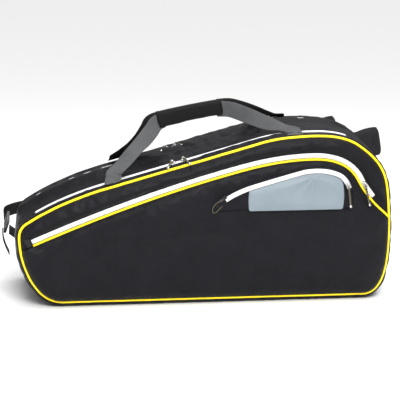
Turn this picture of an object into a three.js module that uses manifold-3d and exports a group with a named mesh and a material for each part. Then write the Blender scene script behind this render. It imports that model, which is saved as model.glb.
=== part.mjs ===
// Racket tournament bag: two zipped racket compartments side by side, a large zipped front pocket
// with a small zipped pocket on it, a webbing carry handle with a wrapped grip, and two padded
// shoulder straps on the back. Millimetres, +X along the bag, -Y the front, +Z up; the bag stands on z = 0.
import * as THREE from "three";
import { mergeVertices } from "three/addons/utils/BufferGeometryUtils.js";
import Module from "manifold-3d";

const wasm = await Module();
wasm.setup();

// ---- driving dimensions ----
const DEPTH = 250; // between the front seam and the rear seam
const Y_FRONT = -122.4; // plane of the front seam
const Y_MIDDLE = Y_FRONT + DEPTH / 2;
const Y_REAR = Y_FRONT + DEPTH;
const SEAM_Z = 12; // height of the bottom seams; the gussets swell down to z = 0
const PIPING_R = 2.5;
const SEAM_GAP = 3; // from a seam's plane to the fabric on each side
const WALL = 3; // padded gusset wall
const PANEL = 4; // padded flat panel
const SWELL_SIDE = 8.5; // how far a gusset swells past its seams at the ends
const SWELL_UP = 3.5; // less than that on top, more underneath
const FRONT_ZIP_Y = Y_FRONT + 30; // line of the front compartment's main zip
const REAR_ZIP_Y = Y_MIDDLE + 80; // and of the rear one's, behind the crown of its gusset
const ZIP_SLOT = 16;
const ZIP_WIDTH = 15;
const TAPE_THICK = 3;
const GAP = 0.4;
const WEBBING_WIDE = 32;
const WEBBING_THICK = 2.2;
const NARROW_WEBBING = 25;

// ---- outline of the front, middle and rear seams, counter-clockwise in X and Z ----
const v2 = (x, z) => new THREE.Vector2(x, z);
const line = (a, b) => new THREE.LineCurve(v2(...a), v2(...b));
const bend = (a, c, b) => new THREE.QuadraticBezierCurve(v2(...a), v2(...c), v2(...b));
const sweepBend = (a, c, d, b) =>
  new THREE.CubicBezierCurve(v2(...a), v2(...c), v2(...d), v2(...b));

const bottom = [line([-290, SEAM_Z], [318, SEAM_Z]), 5];
const lowerRight = [bend([318, SEAM_Z], [357, SEAM_Z], [366, 80]), 6];
const right = [bend([366, 80], [374, 152], [364, 228]), 5];
const upperRight = [sweepBend([364, 228], [359, 268], [342, 290], [306, 316]), 6];
const shoulder = [bend([306, 316], [276, 338], [222, 338]), 5];
const crest = [bend([222, 338], [155, 338], [113, 327]), 3];
const ramp = [line([113, 327], [-196, 241]), 4];
const upperLeft = [bend([-196, 241], [-290, 215], [-358, 172]), 5];
const nose = [bend([-358, 172], [-371, 164], [-372, 148]), 3];
const left = [sweepBend([-372, 148], [-374, 95], [-345, SEAM_Z], [-290, SEAM_Z]), 9];

const top = [shoulder, crest, ramp, upperLeft];
const outline = [bottom, lowerRight, right, upperRight, ...top, nose, left];

// The large pocket's piped seam runs from the right side over the top to low on the left,
// with its zip just above it.
const pocketSeamLine = [
  [bend([357, 182], [322, 212], [303, 248]), 4],
  [sweepBend([303, 248], [287, 280], [252, 294], [205, 292]), 6],
  [bend([205, 292], [140, 291], [62, 270]), 4],
  [bend([62, 270], [-130, 220], [-345, 130]), 7],
];
// The small pocket's zip runs along its curved top edge.
const smallZipLine = [
  [bend([286, 213], [284, 248], [263, 262]), 5],
  [bend([263, 262], [232, 277], [190, 270]), 4],
  [bend([190, 270], [140, 257], [82, 240]), 4],
  [bend([82, 240], [30, 222], [8, 193]), 5],
];
const SMALL_POCKET_FOOT = 191;
const SMALL_POCKET_HEM = 8; // of fabric above the zip line
const SMALL_ZIP_HALF = 4.5;

// Points along a run of curves, each with its outward normal (the curves run counter-clockwise).
function stations(run, closed = false) {
  const found = [];
  run.forEach(([curve, steps], k) => {
    const last = !closed && k === run.length - 1 ? steps : steps - 1;
    for (let i = 0; i <= last; i++) {
      const p = curve.getPoint(i / steps);
      const t = curve.getTangent(i / steps);
      found.push({ x: p.x, z: p.y, nx: t.y, nz: -t.x });
    }
  });
  return found;
}
// The same run with its two end stations moved inwards along it.
function drawnIn(run, by) {
  const moved = (s, way) => ({ ...s, x: s.x - s.nz * by * way, z: s.z + s.nx * by * way });
  return [moved(run[0], 1), ...run.slice(1, -1), moved(run.at(-1), -1)];
}
const around = stations(outline, true);
const alongTop = stations(top);

// ---- solids ----
// Turns the faces round if they point inwards.
function outward(geometry) {
  const p = geometry.getAttribute("position");
  const index = geometry.index.array;
  const [a, b, c] = [new THREE.Vector3(), new THREE.Vector3(), new THREE.Vector3()];
  let volume = 0;
  for (let i = 0; i < index.length; i += 3) {
    a.fromBufferAttribute(p, index[i]);
    b.fromBufferAttribute(p, index[i + 1]);
    c.fromBufferAttribute(p, index[i + 2]);
    volume += a.dot(b.cross(c));
  }
  if (volume < 0)
    for (let i = 0; i < index.length; i += 3)
      [index[i + 1], index[i + 2]] = [index[i + 2], index[i + 1]];
  return geometry;
}

// Triangles that fill one closed ring of points, which is simple when seen along its own normal.
function capTriangles(ring) {
  const middle = ring.reduce((s, p) => s.add(p), new THREE.Vector3()).divideScalar(ring.length);
  const normal = new THREE.Vector3();
  ring.forEach((p, i) => {
    const q = ring[(i + 1) % ring.length];
    normal.add(p.clone().sub(middle).cross(q.clone().sub(middle)));
  });
  normal.normalize();
  const u = ring[1].clone().sub(ring[0]);
  u.addScaledVector(normal, -u.dot(normal)).normalize();
  const v = normal.clone().cross(u);
  const flat = ring.map((p) => v2(p.clone().sub(middle).dot(u), p.clone().sub(middle).dot(v)));
  return THREE.ShapeUtils.triangulateShape(flat, []);
}

// A solid through a row of closed rings with the same number of points each.
function loft(rings, closed = false) {
  const m = rings[0].length;
  const index = [];
  const spans = closed ? rings.length : rings.length - 1;
  for (let k = 0; k < spans; k++)
    for (let i = 0; i < m; i++) {
      const [a, b] = [k * m + i, k * m + ((i + 1) % m)];
      const [c, d] = [a, b].map((n) => (n + m) % (m * rings.length));
      index.push(a, b, d, a, d, c);
    }
  if (!closed) {
    const lastRing = (rings.length - 1) * m;
    for (const [a, b, c] of capTriangles(rings[0])) index.push(a, c, b);
    for (const [a, b, c] of capTriangles(rings.at(-1)))
      index.push(lastRing + a, lastRing + b, lastRing + c);
  }
  const places = rings.flat().flatMap((p) => [p.x, p.y, p.z]);
  const geometry = new THREE.BufferGeometry();
  geometry.setAttribute("position", new THREE.Float32BufferAttribute(places, 3));
  geometry.setIndex(index);
  return outward(geometry);
}

// A profile of [outward offset, y] pairs carried along stations.
function sweep(run, profile, closed = false) {
  const rings = run.map((s) =>
    profile(s).map(([out, y]) => new THREE.Vector3(s.x + s.nx * out, y, s.z + s.nz * out)),
  );
  return loft(rings, closed);
}

const roundProfile = (out, y, r, sides = 8) =>
  Array.from({ length: sides }, (_, i) => {
    const a = (2 * Math.PI * (i + 0.5)) / sides;
    return [out + r * Math.cos(a), y + r * Math.sin(a)];
  });
const boxProfile = (out0, out1, y0, y1) => [
  [out0, y0],
  [out1, y0],
  [out1, y1],
  [out0, y1],
];

function toSolid(geometry) {
  const bare = new THREE.BufferGeometry();
  bare.setAttribute("position", geometry.getAttribute("position"));
  bare.setIndex(geometry.index);
  const merged = mergeVertices(bare, 1e-3);
  const vertProperties = merged.getAttribute("position").array;
  const triVerts = new Uint32Array(merged.index.array);
  return new wasm.Manifold(new wasm.Mesh({ numProp: 3, vertProperties, triVerts }));
}
function fromSolid(solid) {
  const mesh = solid.getMesh();
  const geometry = new THREE.BufferGeometry();
  const places = new THREE.BufferAttribute(new Float32Array(mesh.vertProperties), 3);
  geometry.setAttribute("position", places);
  geometry.setIndex(new THREE.BufferAttribute(new Uint32Array(mesh.triVerts), 1));
  return geometry;
}
const cut = (a, b) => fromSolid(toSolid(a).subtract(toSolid(b)));

// A flat plate with an outline in X and Z, from y0 back to y1.
function plate(points, y0, y1) {
  const shape = new THREE.Shape(points.map(([x, z]) => v2(x, z)));
  const geometry = new THREE.ExtrudeGeometry(shape, { depth: y1 - y0, bevelEnabled: false });
  return geometry.rotateX(Math.PI / 2).translate(0, y1, 0);
}
const offsetLoop = (run, out) => run.map((s) => [s.x + s.nx * out, s.z + s.nz * out]);

// A flat band along centre points, each with the direction of the band's width.
function band(centres, widthDirections, width, thick) {
  const rings = centres.map((p, i) => {
    const before = centres[Math.max(i - 1, 0)];
    const after = centres[Math.min(i + 1, centres.length - 1)];
    const along = after.clone().sub(before).normalize();
    const w = widthDirections[i].clone().normalize();
    w.addScaledVector(along, -w.dot(along)).normalize();
    const up = along.clone().cross(w);
    const [a, b, c] = [width / 2, width / 2 - thick / 3, thick / 2];
    const corners = [
      [-b, -c],
      [b, -c],
      [a, 0],
      [b, c],
      [-b, c],
      [-a, 0],
    ];
    return corners.map(([s, t]) => p.clone().addScaledVector(w, s).addScaledVector(up, t));
  });
  return loft(rings);
}
const v3 = (x, y, z) => new THREE.Vector3(x, y, z);

// The same along a smooth curve, in steps small enough for a band that twists as it goes.
function smoothBand(points, widthDirections, width, thick, steps) {
  const curve = new THREE.CatmullRomCurve3(points);
  const widths = Array.from({ length: steps + 1 }, (_, i) => {
    const place = (i / steps) * (points.length - 1);
    const k = Math.min(Math.floor(place), points.length - 2);
    const [a, b] = [widthDirections[k], widthDirections[k + 1]].map((w) => w.clone().normalize());
    return a.lerp(b, place - k);
  });
  return band(curve.getPoints(steps), widths, width, thick);
}

// ---- materials ----
const finish = (color, roughness, metalness = 0) =>
  new THREE.MeshStandardMaterial({ color, roughness, metalness });
const shellFabric = () => finish(0x1d1d20, 0.6);
const liningFabric = () => finish(0x2a2a2d, 0.8);
const yellowPiping = () => finish(0xf5dc1e, 0.45);
const blackBinding = () => finish(0x141416, 0.7);
const silverZip = () => finish(0xc9ccd0, 0.4);
const accentSatin = () => finish(0x9aa5ac, 0.35);
const greyWebbing = () => finish(0x55585b, 0.7);
const blackWebbing = () => finish(0x1a1a1c, 0.75);
const gripFabric = () => finish(0x222225, 0.65);
const nickel = () => finish(0xc0c0c0, 0.25, 1);
const pullCord = () => finish(0x18181a, 0.6);
const blackPlastic = () => finish(0x17171a, 0.4);
const padFabric = () => finish(0x232326, 0.75);

const bag = new THREE.Group();
bag.name = "racket_bag";
function add(name, geometry, material, parent = bag) {
  const mesh = new THREE.Mesh(geometry, material);
  mesh.name = name;
  parent.add(mesh);
  return mesh;
}

// ---- compartments ----
const swell = (s) => SWELL_SIDE - SWELL_UP * s.nz;
const SWELL_STEPS = [
  [0, 0],
  [0.75, 14],
  [1, 32],
];
const ZIP_SWELL = 0.95; // share of the swell reached where the main zip lies

function gussetProfile(y0, y1) {
  return (s) => {
    const rise = SWELL_STEPS.map(([share, from]) => [share * swell(s), y0 + from]);
    const fall = SWELL_STEPS.map(([share, from]) => [share * swell(s), y1 - from]).reverse();
    const outer = [...rise, ...fall];
    const inner = outer.map(([out, y]) => [out - WALL, y]).reverse();
    return [...outer, ...inner];
  };
}

// One racket compartment: a swelling gusset between two seams, open at a slot for its zip.
function compartment(name, seamY, zipY) {
  const y0 = seamY + SEAM_GAP;
  const y1 = seamY + DEPTH / 2 - SEAM_GAP;
  const ring = sweep(around, gussetProfile(y0, y1), true);
  const slotSides = () => boxProfile(-12, 20, zipY - ZIP_SLOT / 2, zipY + ZIP_SLOT / 2);
  const zipRun = alongTop.slice(1, -1);
  add(`${name}_gusset`, cut(ring, sweep(zipRun, slotSides)), shellFabric());
  const chain = (s) => {
    const level = ZIP_SWELL * swell(s);
    return boxProfile(level + 0.6 - TAPE_THICK, level + 0.6, zipY - ZIP_WIDTH / 2, zipY + ZIP_WIDTH / 2);
  };
  add(`${name}_main_zip`, sweep(drawnIn(zipRun, GAP), chain), silverZip());
}
compartment("front", Y_FRONT, FRONT_ZIP_Y);
compartment("rear", Y_MIDDLE, REAR_ZIP_Y);

const panelLoop = offsetLoop(around, -SEAM_GAP - 0.3);
const Y_FACE = Y_FRONT - PANEL + 0.5; // front face of the front panel
add("front_panel", plate(panelLoop, Y_FACE, Y_FACE + PANEL), shellFabric());
add("divider_panel", plate(panelLoop, Y_MIDDLE - PANEL / 2, Y_MIDDLE + PANEL / 2), liningFabric());
add("back_panel", plate(panelLoop, Y_REAR - 0.5, Y_REAR - 0.5 + PANEL), padFabric());
const Y_BACK = Y_REAR - 0.5 + PANEL; // rear face of the back panel

const seams = [
  ["front_piping", Y_FRONT, yellowPiping],
  ["middle_piping", Y_MIDDLE, yellowPiping],
  ["rear_binding", Y_REAR, blackBinding],
];
for (const [name, y, material] of seams)
  add(name, sweep(around, () => roundProfile(0, y, PIPING_R), true), material());

// ---- pockets ----
// A shallow fabric shell, open at its back: loops shrunk towards a centre at stepped depths.
function pocketShell(loop, centre, outerSteps, innerSteps) {
  const ring = ([share, y]) =>
    loop.map(([x, z]) =>
      v3(centre[0] + (x - centre[0]) * share, y, centre[1] + (z - centre[1]) * share),
    );
  return loft([...innerSteps, ...outerSteps].map(ring));
}

const pocketSeam = stations(pocketSeamLine);
const POCKET_PIPING_R = 2.2;
const POCKET_ZIP = [2.7, 12.5]; // its tape's edges, outside the seam
const POCKET_EDGE_OUT = -3;
const POCKET_RIM = -7; // the pocket's lower edge inside the front seam
const POCKET_DEEP = 12.5;
const below = around.filter((s) => (s.x > 0 ? s.z < 165 : s.z < 118));
const bottomIndex = below.findIndex((s) => s.x < -360);
const rim = offsetLoop([...below.slice(bottomIndex), ...below.slice(0, bottomIndex)], POCKET_RIM);
const pocketLoop = [...offsetLoop(pocketSeam, POCKET_EDGE_OUT), ...rim];
const Y_POCKET = Y_FACE - POCKET_DEEP; // face of the large pocket
add(
  "front_pocket",
  pocketShell(
    pocketLoop,
    [0, 125],
    [
      [1, Y_FACE - GAP],
      [1, Y_FACE - 4],
      [0.975, Y_FACE - 9],
      [0.92, Y_POCKET],
    ],
    [
      [0.9, Y_POCKET + 2.5],
      [0.955, Y_FACE - 6.8],
      [0.975, Y_FACE - 4],
      [0.98, Y_FACE - GAP],
    ],
  ),
  shellFabric(),
);
const tape = () => boxProfile(...POCKET_ZIP, Y_FACE - TAPE_THICK - GAP, Y_FACE - GAP);
const pocketZip = pocketSeam.slice(2);
add("front_pocket_zip", sweep(pocketZip, tape), silverZip());
const pocketCord = () => roundProfile(0, Y_FACE - 3, POCKET_PIPING_R);
add("front_pocket_piping", sweep(pocketSeam, pocketCord), yellowPiping());
const garage = new THREE.BoxGeometry(11, 4.5, 20);
garage.rotateY(-0.396).translate(-355, Y_FACE - 2.8, 134);
add("front_pocket_zip_end", garage, blackBinding());

const smallZip = stations(smallZipLine);
const foot = [
  [4, SMALL_POCKET_FOOT],
  [292, SMALL_POCKET_FOOT],
];
const smallLoop = [...offsetLoop(smallZip, SMALL_POCKET_HEM), ...foot];
const Y_SMALL = Y_POCKET - 8; // face of the small pocket
add(
  "small_pocket",
  pocketShell(
    smallLoop,
    [170, 225],
    [
      [1, Y_POCKET - GAP],
      [1, Y_POCKET - 5],
      [0.96, Y_SMALL],
    ],
    [
      [0.95, Y_SMALL + 1.8],
      [0.975, Y_POCKET - 4],
      [0.975, Y_POCKET - GAP],
    ],
  ),
  shellFabric(),
);
const smallTape = () => boxProfile(-SMALL_ZIP_HALF, SMALL_ZIP_HALF, Y_SMALL - 2 - GAP, Y_SMALL - GAP);
const smallZipRun = smallZip.slice(1, -1);
add("small_pocket_zip", sweep(smallZipRun, smallTape), silverZip());
const ACCENT_X = [80, 272];
const [accentLeft, accentRight] = ACCENT_X;
const underZip = offsetLoop(smallZipRun, -SMALL_ZIP_HALF - 1).filter(
  ([x]) => x > accentLeft + 3 && x < accentRight - 1,
);
const accentLoop = [
  [accentRight, SMALL_POCKET_FOOT + 5],
  ...underZip,
  [accentLeft, 233],
  [accentLeft, SMALL_POCKET_FOOT + 5],
];
add("accent_panel", plate(accentLoop, Y_SMALL - 1.4, Y_SMALL - GAP), accentSatin());

// ---- zip sliders and their pulls ----
const SLIDER = { long: 13, wide: 9, tall: 5 };
const PULL_LONG = 46;

function sliderBody() {
  const shape = new THREE.Shape();
  const [l, w] = [SLIDER.long / 2, SLIDER.wide / 2];
  shape.moveTo(-l, -w * 0.6);
  shape.lineTo(l * 0.5, -w);
  shape.lineTo(l, -w * 0.6);
  shape.lineTo(l, w * 0.6);
  shape.lineTo(l * 0.5, w);
  shape.lineTo(-l, w * 0.6);
  return new THREE.ExtrudeGeometry(shape, { depth: SLIDER.tall, bevelEnabled: false });
}
// A cord pull with a metal bead, hanging along -Z from its hinge point.
function pullBody() {
  const profile = [
    [0, 1.5],
    [1.4, 0.8],
    [1.5, -PULL_LONG + 6],
    [2.9, -PULL_LONG + 4],
    [2.9, -PULL_LONG + 1],
    [0, -PULL_LONG],
  ];
  return new THREE.LatheGeometry(profile.map(([r, z]) => v2(r, z)).reverse(), 8).rotateX(
    Math.PI / 2,
  );
}
// The slider's own X is along the zip, its Z away from the tape; the pull lies along pullTo.
function slider(name, at, along, away, pullTo) {
  const group = new THREE.Group();
  const x = v3(...along).normalize();
  const z = v3(...away).normalize();
  const y = z.clone().cross(x);
  group.applyMatrix4(new THREE.Matrix4().makeBasis(x, y, z));
  group.position.set(...at);
  bag.add(group);
  add(`${name}_slider`, sliderBody(), nickel(), group);
  const pull = add(`${name}_pull`, pullBody(), pullCord());
  const hinge = v3(...at).addScaledVector(z, SLIDER.tall + 3.4);
  pull.position.copy(hinge);
  pull.quaternion.setFromUnitVectors(v3(0, 0, -1), v3(...pullTo).normalize());
  return hinge;
}

// A point on the ramp above the main zip, at the slider's foot.
const RAMP_SLOPE = Math.atan2(327 - 241, 113 + 196);
const rampAlong = [Math.cos(RAMP_SLOPE), 0, Math.sin(RAMP_SLOPE)];
const rampAway = [-Math.sin(RAMP_SLOPE), 0, Math.cos(RAMP_SLOPE)];
function onRamp(x, zipY) {
  const z = 241 + ((x + 196) * (327 - 241)) / (113 + 196);
  const level = ZIP_SWELL * (SWELL_SIDE - SWELL_UP * rampAway[2]) + 0.6 + GAP;
  return [x + rampAway[0] * level, zipY, z + rampAway[2] * level];
}
const SLIDERS_X = [-64, -42];
// Each zip's name and line, and how far its left and right pulls fall along their way forward.
for (const [name, zipY, leftFall, rightFall] of [
  ["front_main", FRONT_ZIP_Y, 0.24, 0.19],
  ["rear_main", REAR_ZIP_Y, 0.16, 0.04],
]) {
  const [l, r] = SLIDERS_X;
  slider(`${name}_left`, onRamp(l, zipY), rampAlong, rampAway, [-0.25, -1, -leftFall]);
  slider(`${name}_right`, onRamp(r, zipY), rampAlong.map((n) => -n), rampAway, [0.25, -1, -rightFall]);
}
// The pocket zips turn down at their right ends on arcs, where their sliders rest.
function sliderOnArc(name, arc, y, pullTo) {
  const [c, d] = [Math.cos(arc.at), Math.sin(arc.at)];
  slider(name, [arc.x + arc.r * c, y, arc.z + arc.r * d], [d, 0, -c], [0, -1, 0], pullTo);
}
sliderOnArc("front_pocket", { x: 219, z: 190, r: 110.4, at: 0.49 }, Y_FACE - 3.8, [0.2, -0.1, -1]);
sliderOnArc("small_pocket", { x: 232, z: 222, r: 51.5, at: 0.44 }, Y_SMALL - 2.8, [0.1, -0.02, -1]);

// ---- carry handle ----
// Two webbing loops, near and far, each sewn to its own side of the bag and wrapped together.
const GRIP = { from: v3(-90, Y_MIDDLE, 358), to: v3(44, Y_MIDDLE, 383), tall: 34, deep: 26 };
const gripAlong = GRIP.to.clone().sub(GRIP.from).normalize();
const gripUp = v3(-gripAlong.z, 0, gripAlong.x);

// A ring of the grip's section, grown by some margin, at a place along the grip.
function gripRing(share, tall, deep, sides = 12) {
  const middle = GRIP.from.clone().lerp(GRIP.to, share);
  return Array.from({ length: sides }, (_, i) => {
    const a = (2 * Math.PI * (i + 0.5)) / sides;
    const [c, s] = [Math.cos(a), Math.sin(a)];
    const round = (n) => Math.sign(n) * Math.abs(n) ** 0.6;
    const up = (round(s) * tall) / 2;
    return middle.clone().addScaledVector(gripUp, up).add(v3(0, (round(c) * deep) / 2, 0));
  });
}
const GRIP_CORE = { tall: 24, deep: 10 };
const core = loft([-0.06, 1.06].map((t) => gripRing(t, GRIP_CORE.tall, GRIP_CORE.deep)));
add("handle_grip_core", core, blackWebbing());
const hollow = loft([-0.2, 1.2].map((t) => gripRing(t, GRIP_CORE.tall + 1, GRIP_CORE.deep + 1)));
const wrapSolid = loft([0, 1].map((t) => gripRing(t, GRIP.tall - 2, GRIP.deep - 3)));
add("handle_grip_wrap", cut(wrapSolid, hollow), gripFabric());

// The closing flap lies on the near face of the wrap and peels up about its top edge.
const FLAP = { tall: 30, thick: 2.6, gap: 0.8 };
function flapRing(share) {
  const middle = GRIP.from.clone().lerp(GRIP.to, share);
  const y0 = -(GRIP.deep - 3) / 2 - FLAP.gap;
  return [
    [FLAP.tall / 2, y0],
    [FLAP.tall / 2, y0 - FLAP.thick],
    [-FLAP.tall / 2, y0 - FLAP.thick],
    [-FLAP.tall / 2, y0],
  ].map(([up, y]) => middle.clone().addScaledVector(gripUp, up).add(v3(0, y, 0)));
}
add("handle_grip_flap", loft([0.02, 0.98].map(flapRing)), gripFabric());

const LEG_STEPS = 14;
const alongRamp = v3(...rampAlong);
const alongShoulder = v3(1, 0, 0.05);
// Each leg: its points as [x, distance from the middle plane, z], and the way its width lies.
const LEGS = {
  near_left: [
    [[-184, 106, 261], alongRamp],
    [[-182, 99, 268], alongRamp],
    [[-165, 86, 282], alongRamp],
    [[-139, 62, 306], v3(0.95, 0, 0.1)],
    [[-121, 42, 320], v3(0.9, 0, -0.2)],
    [[-108, 20, 337], v3(0.8, 0, -0.5)],
    [[-102, 8, 349], v3(0.75, 0, -0.62)],
  ],
  far_left: [
    [[-168, 106, 262], alongRamp],
    [[-167, 99, 268], alongRamp],
    [[-155, 84, 279], alongRamp],
    [[-134, 62, 296], v3(0.95, 0, 0.1)],
    [[-119, 42, 313], v3(0.9, 0, -0.2)],
    [[-108, 20, 334], v3(0.8, 0, -0.5)],
    [[-102, 8, 350], v3(0.75, 0, -0.62)],
  ],
  near_right: [
    [[174, 106, 346], alongShoulder],
    [[172, 99, 348], alongShoulder],
    [[154, 86, 350.5], alongShoulder],
    [[134, 68, 354], v3(0.8, 0.1, 0.4)],
    [[107, 42, 362], v3(0.4, 0.3, 0.75)],
    [[80, 18, 371], v3(0.1, 0.2, 1)],
    [[60, 8, 376.5], gripUp],
  ],
  far_right: [
    [[174, 106, 346], alongShoulder],
    [[172, 99, 348], alongShoulder],
    [[155, 86, 350.5], alongShoulder],
    [[134, 68, 354.5], v3(0.8, -0.1, 0.4)],
    [[108, 42, 365], v3(0.4, -0.2, 0.75)],
    [[80, 18, 376], v3(0.1, -0.1, 1)],
    [[60, 8, 382], gripUp],
  ],
};
const SIDES = { near: [-1, greyWebbing], far: [1, blackWebbing] };
for (const [leg, route] of Object.entries(LEGS)) {
  const [sign, material] = SIDES[leg.split("_")[0]];
  const points = route.map(([[x, off, z]]) => v3(x, Y_MIDDLE + sign * off, z));
  const turns = route.map(([, width]) => width);
  const solid = smoothBand(points, turns, WEBBING_WIDE, WEBBING_THICK, LEG_STEPS);
  add(`${leg}_handle_webbing`, solid, material());
}
// Sewn feet of the legs, flat on the gussets beside the seams: [x, z] of each one's middle.
const FEET = {
  near_left: [-187, 252.4],
  far_left: [-170, 257.1],
  near_right: [176, 342.3],
  far_right: [176, 342.3],
};
for (const [leg, [x, z]] of Object.entries(FEET)) {
  const [sign, material] = SIDES[leg.split("_")[0]];
  const width = leg.endsWith("left") ? alongRamp : alongShoulder;
  const centres = [v3(x, Y_MIDDLE + sign * 122, z - 2), v3(x, Y_MIDDLE + sign * 110, z + 1.5)];
  add(`${leg}_handle_tab`, band(centres, [width, width], WEBBING_WIDE, WEBBING_THICK), material());
}

// ---- shoulder straps ----
// Each padded strap is sewn to the back panel, runs to the right, turns back on itself and runs
// left; a narrow webbing goes on from its end to a ladder lock at the bag's left end.
const TURN_R = 10;
const BASE_LONG = 70;
const BASE_THICK = 7;
const PAD_THICK = 10;
const PAD_WIDE = 60;
const Y_BASE = Y_BACK + 1 + BASE_THICK / 2;
const Y_TURN = Y_BASE + TURN_R;
const TURN_GAP = 0.27; // radians left open on each side of the turn's crown, for the pad's swing

function padSection(centres, widths, thick, wide) {
  const rings = centres.map((p, i) => {
    const before = centres[Math.max(i - 1, 0)];
    const after = centres[Math.min(i + 1, centres.length - 1)];
    const along = after.clone().sub(before).normalize();
    const w = widths[i];
    const up = along.clone().cross(w).normalize();
    return Array.from({ length: 10 }, (_, k) => {
      const a = (2 * Math.PI * (k + 0.5)) / 10;
      const round = (n) => Math.sign(n) * Math.abs(n) ** 0.5;
      return p
        .clone()
        .addScaledVector(w, (round(Math.cos(a)) * wide) / 2)
        .addScaledVector(up, (round(Math.sin(a)) * thick) / 2);
    });
  });
  return loft(rings);
}

// lane: a curve in X and Z from the turn at the right end to the pad's left end.
function shoulderStrap(name, lane, padSteps) {
  const start = lane.getPoint(0);
  const t0 = lane.getTangent(0);
  const turnAt = (angle) => {
    const back = TURN_R * Math.cos(angle);
    return v3(start.x - t0.x * back, Y_TURN + TURN_R * Math.sin(angle), start.y - t0.y * back);
  };
  const across = v3(-t0.y, 0, t0.x);
  const arc = (a0, a1) => Array.from({ length: 5 }, (_, i) => turnAt(a0 + ((a1 - a0) * i) / 4));
  const baseEnd = v3(start.x + t0.x * BASE_LONG, Y_BASE, start.y + t0.y * BASE_LONG);
  const base = [baseEnd, ...arc(-Math.PI / 2, -TURN_GAP)];
  add(`${name}_strap_base`, padSection(base, base.map(() => across), BASE_THICK, PAD_WIDE), padFabric());
  const run = Array.from({ length: padSteps }, (_, i) => {
    const t = (i + 1) / padSteps;
    const p = lane.getPoint(t);
    const d = lane.getTangent(t);
    return [v3(p.x, Y_TURN + TURN_R, p.y), v3(-d.y, 0, d.x)];
  });
  const turn = arc(TURN_GAP, Math.PI / 2);
  const centres = [...turn, ...run.map(([p]) => p)];
  const widths = [...turn.map(() => across), ...run.map(([, w]) => w)];
  add(`${name}_strap_pad`, padSection(centres, widths, PAD_THICK, PAD_WIDE), padFabric());
}
const upperLane = bend([300, 305], [120, 262], [-60, 206]);
const lowerLane = sweepBend([395, 279], [325, 272], [300, 160], [-40, 118]);
shoulderStrap("upper", upperLane, 6);
shoulderStrap("lower", lowerLane, 12);

// Ladder lock: a plastic frame with three bars.
const LOCK = { long: 32, wide: 34, thick: 5, rail: 4, slot: 7 };
function ladderLock() {
  const [l, w] = [LOCK.long / 2, LOCK.wide / 2];
  const shape = new THREE.Shape([v2(-l, -w), v2(l, -w), v2(l, w), v2(-l, w)]);
  for (const at of [-5.5, 5.5]) {
    const [a, b] = [at - LOCK.slot / 2, at + LOCK.slot / 2];
    const c = w - LOCK.rail;
    const narrow = c - 0.5; // the slots taper a little, as moulded ones do
    shape.holes.push(new THREE.Path([v2(a, -c), v2(a, c), v2(b, narrow), v2(b, -narrow)]));
  }
  return new THREE.ExtrudeGeometry(shape, { depth: LOCK.thick, bevelEnabled: false });
}
function placeLock(name, at, along, away) {
  const x = v3(...along).normalize();
  const z = v3(...away);
  z.addScaledVector(x, -z.dot(x)).normalize();
  const mesh = add(name, ladderLock(), blackPlastic());
  mesh.applyMatrix4(new THREE.Matrix4().makeBasis(x, z.clone().cross(x), z));
  mesh.position.set(...at);
}
placeLock("upper_ladder_lock", [-399, 62, 136], [0, 0.75, 0.45], [-1, -0.35, 0.1]);
placeLock("lower_ladder_lock", [-322, Y_BACK + 4, 62], [0.88, 0, 0.3], [0, 1, 0]);

// Narrow webbing from each pad's end to its ladder lock, with its short sewn tab and loose tail.
function webbing(name, points, width, wide = NARROW_WEBBING, thick = 2, steps = 12) {
  const route = points.map(([x, y, z]) => v3(x, y, z));
  const turns = route.map(() => v3(...width));
  add(name, smoothBand(route, turns, wide, thick, steps), blackWebbing());
}
const Y_PAD = Y_TURN + TURN_R;
webbing(
  "upper_strap_webbing",
  [
    [-61, Y_PAD, 205.5],
    [-140, Y_BACK + 19, 186],
    [-250, Y_BACK + 13, 168],
    [-335, Y_BACK + 9, 157],
    [-372, Y_BACK + 7, 152],
    [-394, Y_BACK - 5, 149],
    [-405, Y_BACK - 24, 148],
    [-407.5, Y_BACK - 45, 147],
  ],
  [0, 0.1, 1],
);
webbing(
  "lower_strap_webbing",
  [
    [-42.5, Y_PAD, 117.5],
    [-120, Y_BACK + 19, 98],
    [-210, Y_BACK + 14, 84],
    [-280, Y_BACK + 11, 74],
    [-303, Y_BACK + 11, 68],
  ],
  [0.2, 0, 1],
);
const UPPER_TAB = [
  [-382.5, 31, 118],
  [-389, 37, 121],
  [-396, 44, 125],
];
const LOWER_TAB = [
  [-354, Y_BACK + 2, 53],
  [-346, Y_BACK + 3, 55],
  [-340, Y_BACK + 6, 57],
];
webbing("upper_strap_tab", UPPER_TAB, [0.1, -0.45, 0.85], NARROW_WEBBING, 2, 2);
webbing("lower_strap_tab", LOWER_TAB, [-0.3, 0, 0.9], NARROW_WEBBING, 2, 2);
const UPPER_TAIL = [
  [-410, 60, 124],
  [-409.5, 58, 106],
  [-405, 60, 88],
  [-398, 64, 70],
];
const LOWER_TAIL = [
  [-320, Y_BACK + 10, 40],
  [-316, Y_BACK + 11, 26],
  [-312, Y_BACK + 11, 10],
];
webbing("upper_strap_tail", UPPER_TAIL, [0.03, 1, 0], NARROW_WEBBING - 3, 1.6, 6);
webbing("lower_strap_tail", LOWER_TAIL, [1, 0, 0.2], NARROW_WEBBING - 3, 1.6, 4);

export default bag;
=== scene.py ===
import math

import bmesh
import bpy
import numpy as np
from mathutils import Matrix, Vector, noise
from mathutils.geometry import delaunay_2d_cdt


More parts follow.
